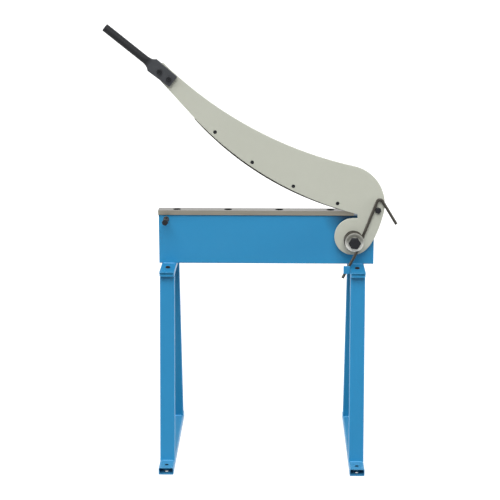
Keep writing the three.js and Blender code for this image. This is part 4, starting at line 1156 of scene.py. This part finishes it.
for side in SIDES:
    x = middle(f"{side}_foot_rail").x
    for place in ("front", "rear"):
        post, seam = f"{side}_{place}_post", f"{side}_{place}"
        sign = 1 if place == "front" else -1
        outer = low_y if place == "front" else high_y
        post_low, post_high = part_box(post)
        height = (post_high.z - post_low.z) / MM
        foot = outer(post)
        head = outer(f"{side}_top_plate") + sign * POST_INSET
        inner_foot = foot + sign * TUBE_DEEP * math.hypot(1, (head - foot) / height)
        level = post_low.z / MM - BELOW_POST_END
        top_level = post_high.z / MM - BELOW_POST_END
        for edge, out in (("a", -1), ("b", 1)):
            edge_x = x + out * (TUBE_WIDE / 2 - 0.8)
            ends = [(edge_x, foot + sign * 2, level), (edge_x, inner_foot - sign * 2, level)]
            bead(f"{seam}_foot_weld_{edge}", ends, FINE)
        cross_bead(f"{seam}_foot_weld_c", x, 21, foot - sign * 0.1, level, THIN)
        cross_bead(f"{seam}_foot_weld_d", x, 21, inner_foot, level, FULL)
        cross_bead(f"{seam}_head_weld_a", x, 20, head, top_level, THIN)
        cross_bead(f"{seam}_head_weld_b", x, 20, head + sign * (TUBE_DEEP + GAP), top_level, FULL)
    foot_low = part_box(f"{side}_machine_foot")[0] / MM - SHIFT
    # A dark bead along the front seam under each machine foot: painted shade between the foot and the
    # top plate
    cross_bead(f"{side}_seam_shade", x, 23.5, foot_low.y + 0.9, foot_low.z, SEAM_SHADE, BORE_SHADE)
    under_beam = beam_low.z / MM - AT_BEAM
    cross_bead(f"{side}_beam_weld_front", x, 22, low_y("beam") + AT_BEAM, under_beam, FULL)
    cross_bead(f"{side}_beam_weld_back", x, 22, high_y("beam") - AT_BEAM, under_beam, FULL)
boss_ring = [
    (x, low_y("pivot_boss"), z) for x, z in arc(PIVOT.x, PIVOT.z, BOSS, 0, 360, 60)
]
bead("boss_weld", boss_ring, BOSS_BEAD)
bracket_low, bracket_high = [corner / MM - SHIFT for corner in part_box("spring_bracket")]
bracket_seam = [(bracket_high.x, bracket_high.y + y, bracket_low.z + 14) for y in (-19, -3)]
bead("bracket_weld_top", bracket_seam, BRACKET_BEAD)


# Floor, light and camera
def seen_directly(tree):
    """1 for rays that show the background: from the camera, or by way of gloss or glass."""
    path = tree.nodes.new("ShaderNodeLightPath")
    total = path.outputs["Is Camera Ray"]
    for name in ("Is Glossy Ray", "Is Transmission Ray"):
        either = tree.nodes.new("ShaderNodeMath")
        either.operation = "MAXIMUM"
        tree.links.new(total, either.inputs[0])
        tree.links.new(path.outputs[name], either.inputs[1])
        total = either.outputs[0]
    return total


def by_ray(tree, directly, lighting, background):
    """One strength for the light on the object, another for what is seen of the background."""
    level = tree.nodes.new("ShaderNodeMapRange")
    level.inputs[RANGE_LOW].default_value = lighting
    level.inputs[RANGE_HIGH].default_value = background
    tree.links.new(directly, level.inputs[0])
    return level.outputs[0]


# Each pair is what lights the object and what is seen
FLOOR_COLOUR = (0.24, 0.35)
FLOOR_GLOW = (0.0, 0.85)
WORLD_GLOW = (0.2, 1.0)
WHITE = (1.0, 1.0, 1.0, 1.0)
FLOOR_RADIUS = 60.0  # metres
# Azimuth from the front, elevation, strength and spread of each lamp, in degrees
LAMPS = {
    "key": (-4, 51, 3.1, 50),
    "left": (-88, 8, 2.8, 30),
    "right": (88, 8, 2.8, 30),
    "front": (0, 15, 0.1, 60),
    "rim": (175, 45, 0.4, 40),
}
CAMERA_PLACE = (33.5, -4672.3, 1831.1)
CAMERA_TURN = (76.60, -0.02, 1.10)
CAMERA_LENS = 100.8

floor_mesh = bpy.data.meshes.new("floor")
rim = [(FLOOR_RADIUS * math.cos(a), FLOOR_RADIUS * math.sin(a), 0.0) for a in directions(128)]
floor_mesh.from_pydata(rim, [], [tuple(range(len(rim)))])
floor = bpy.data.objects.new("floor", floor_mesh)
bpy.context.scene.collection.objects.link(floor)
floor_material = bpy.data.materials.new("floor")
floor_material.use_nodes = True
tree = floor_material.node_tree
floor_bsdf = tree.nodes["Principled BSDF"]
directly = seen_directly(tree)
pale = tree.nodes.new("ShaderNodeCombineColor")
shade = by_ray(tree, directly, *FLOOR_COLOUR)
for socket in pale.inputs[:3]:
    tree.links.new(shade, socket)
tree.links.new(pale.outputs[0], floor_bsdf.inputs["Base Color"])
floor_bsdf.inputs["Emission Color"].default_value = WHITE
tree.links.new(by_ray(tree, directly, *FLOOR_GLOW), floor_bsdf.inputs["Emission Strength"])
floor_bsdf.inputs["Roughness"].default_value = 0.9
floor_bsdf.inputs["Specular IOR Level"].default_value = 0.1
floor.data.materials.append(floor_material)

scene = bpy.context.scene
scene.view_settings.view_transform = "Standard"
world = bpy.data.worlds.new("studio")
scene.world = world
world.use_nodes = True
tree = world.node_tree
background = tree.nodes["Background"]
background.inputs["Color"].default_value = WHITE
tree.links.new(by_ray(tree, seen_directly(tree), *WORLD_GLOW), background.inputs["Strength"])


def sun(name, azimuth, elevation, strength, spread):
    lamp = bpy.data.lights.new(name, "SUN")
    lamp.energy = strength
    lamp.angle = math.radians(spread)
    piece = bpy.data.objects.new(name, lamp)
    a, e = math.radians(azimuth), math.radians(elevation)
    towards = Vector((math.sin(a) * math.cos(e), -math.cos(a) * math.cos(e), math.sin(e)))
    piece.rotation_mode = "QUATERNION"
    piece.rotation_quaternion = towards.to_track_quat("Z", "Y")
    scene.collection.objects.link(piece)


for name, values in LAMPS.items():
    sun(name, *values)

camera_data = bpy.data.cameras.new("camera")
camera_data.lens = CAMERA_LENS
camera_data.sensor_width = 36.0
camera_data.clip_end = 200.0
camera = bpy.data.objects.new("camera", camera_data)
camera.location = put(CAMERA_PLACE)
camera.rotation_euler = [math.radians(degrees) for degrees in CAMERA_TURN]
scene.collection.objects.link(camera)
scene.camera = camera
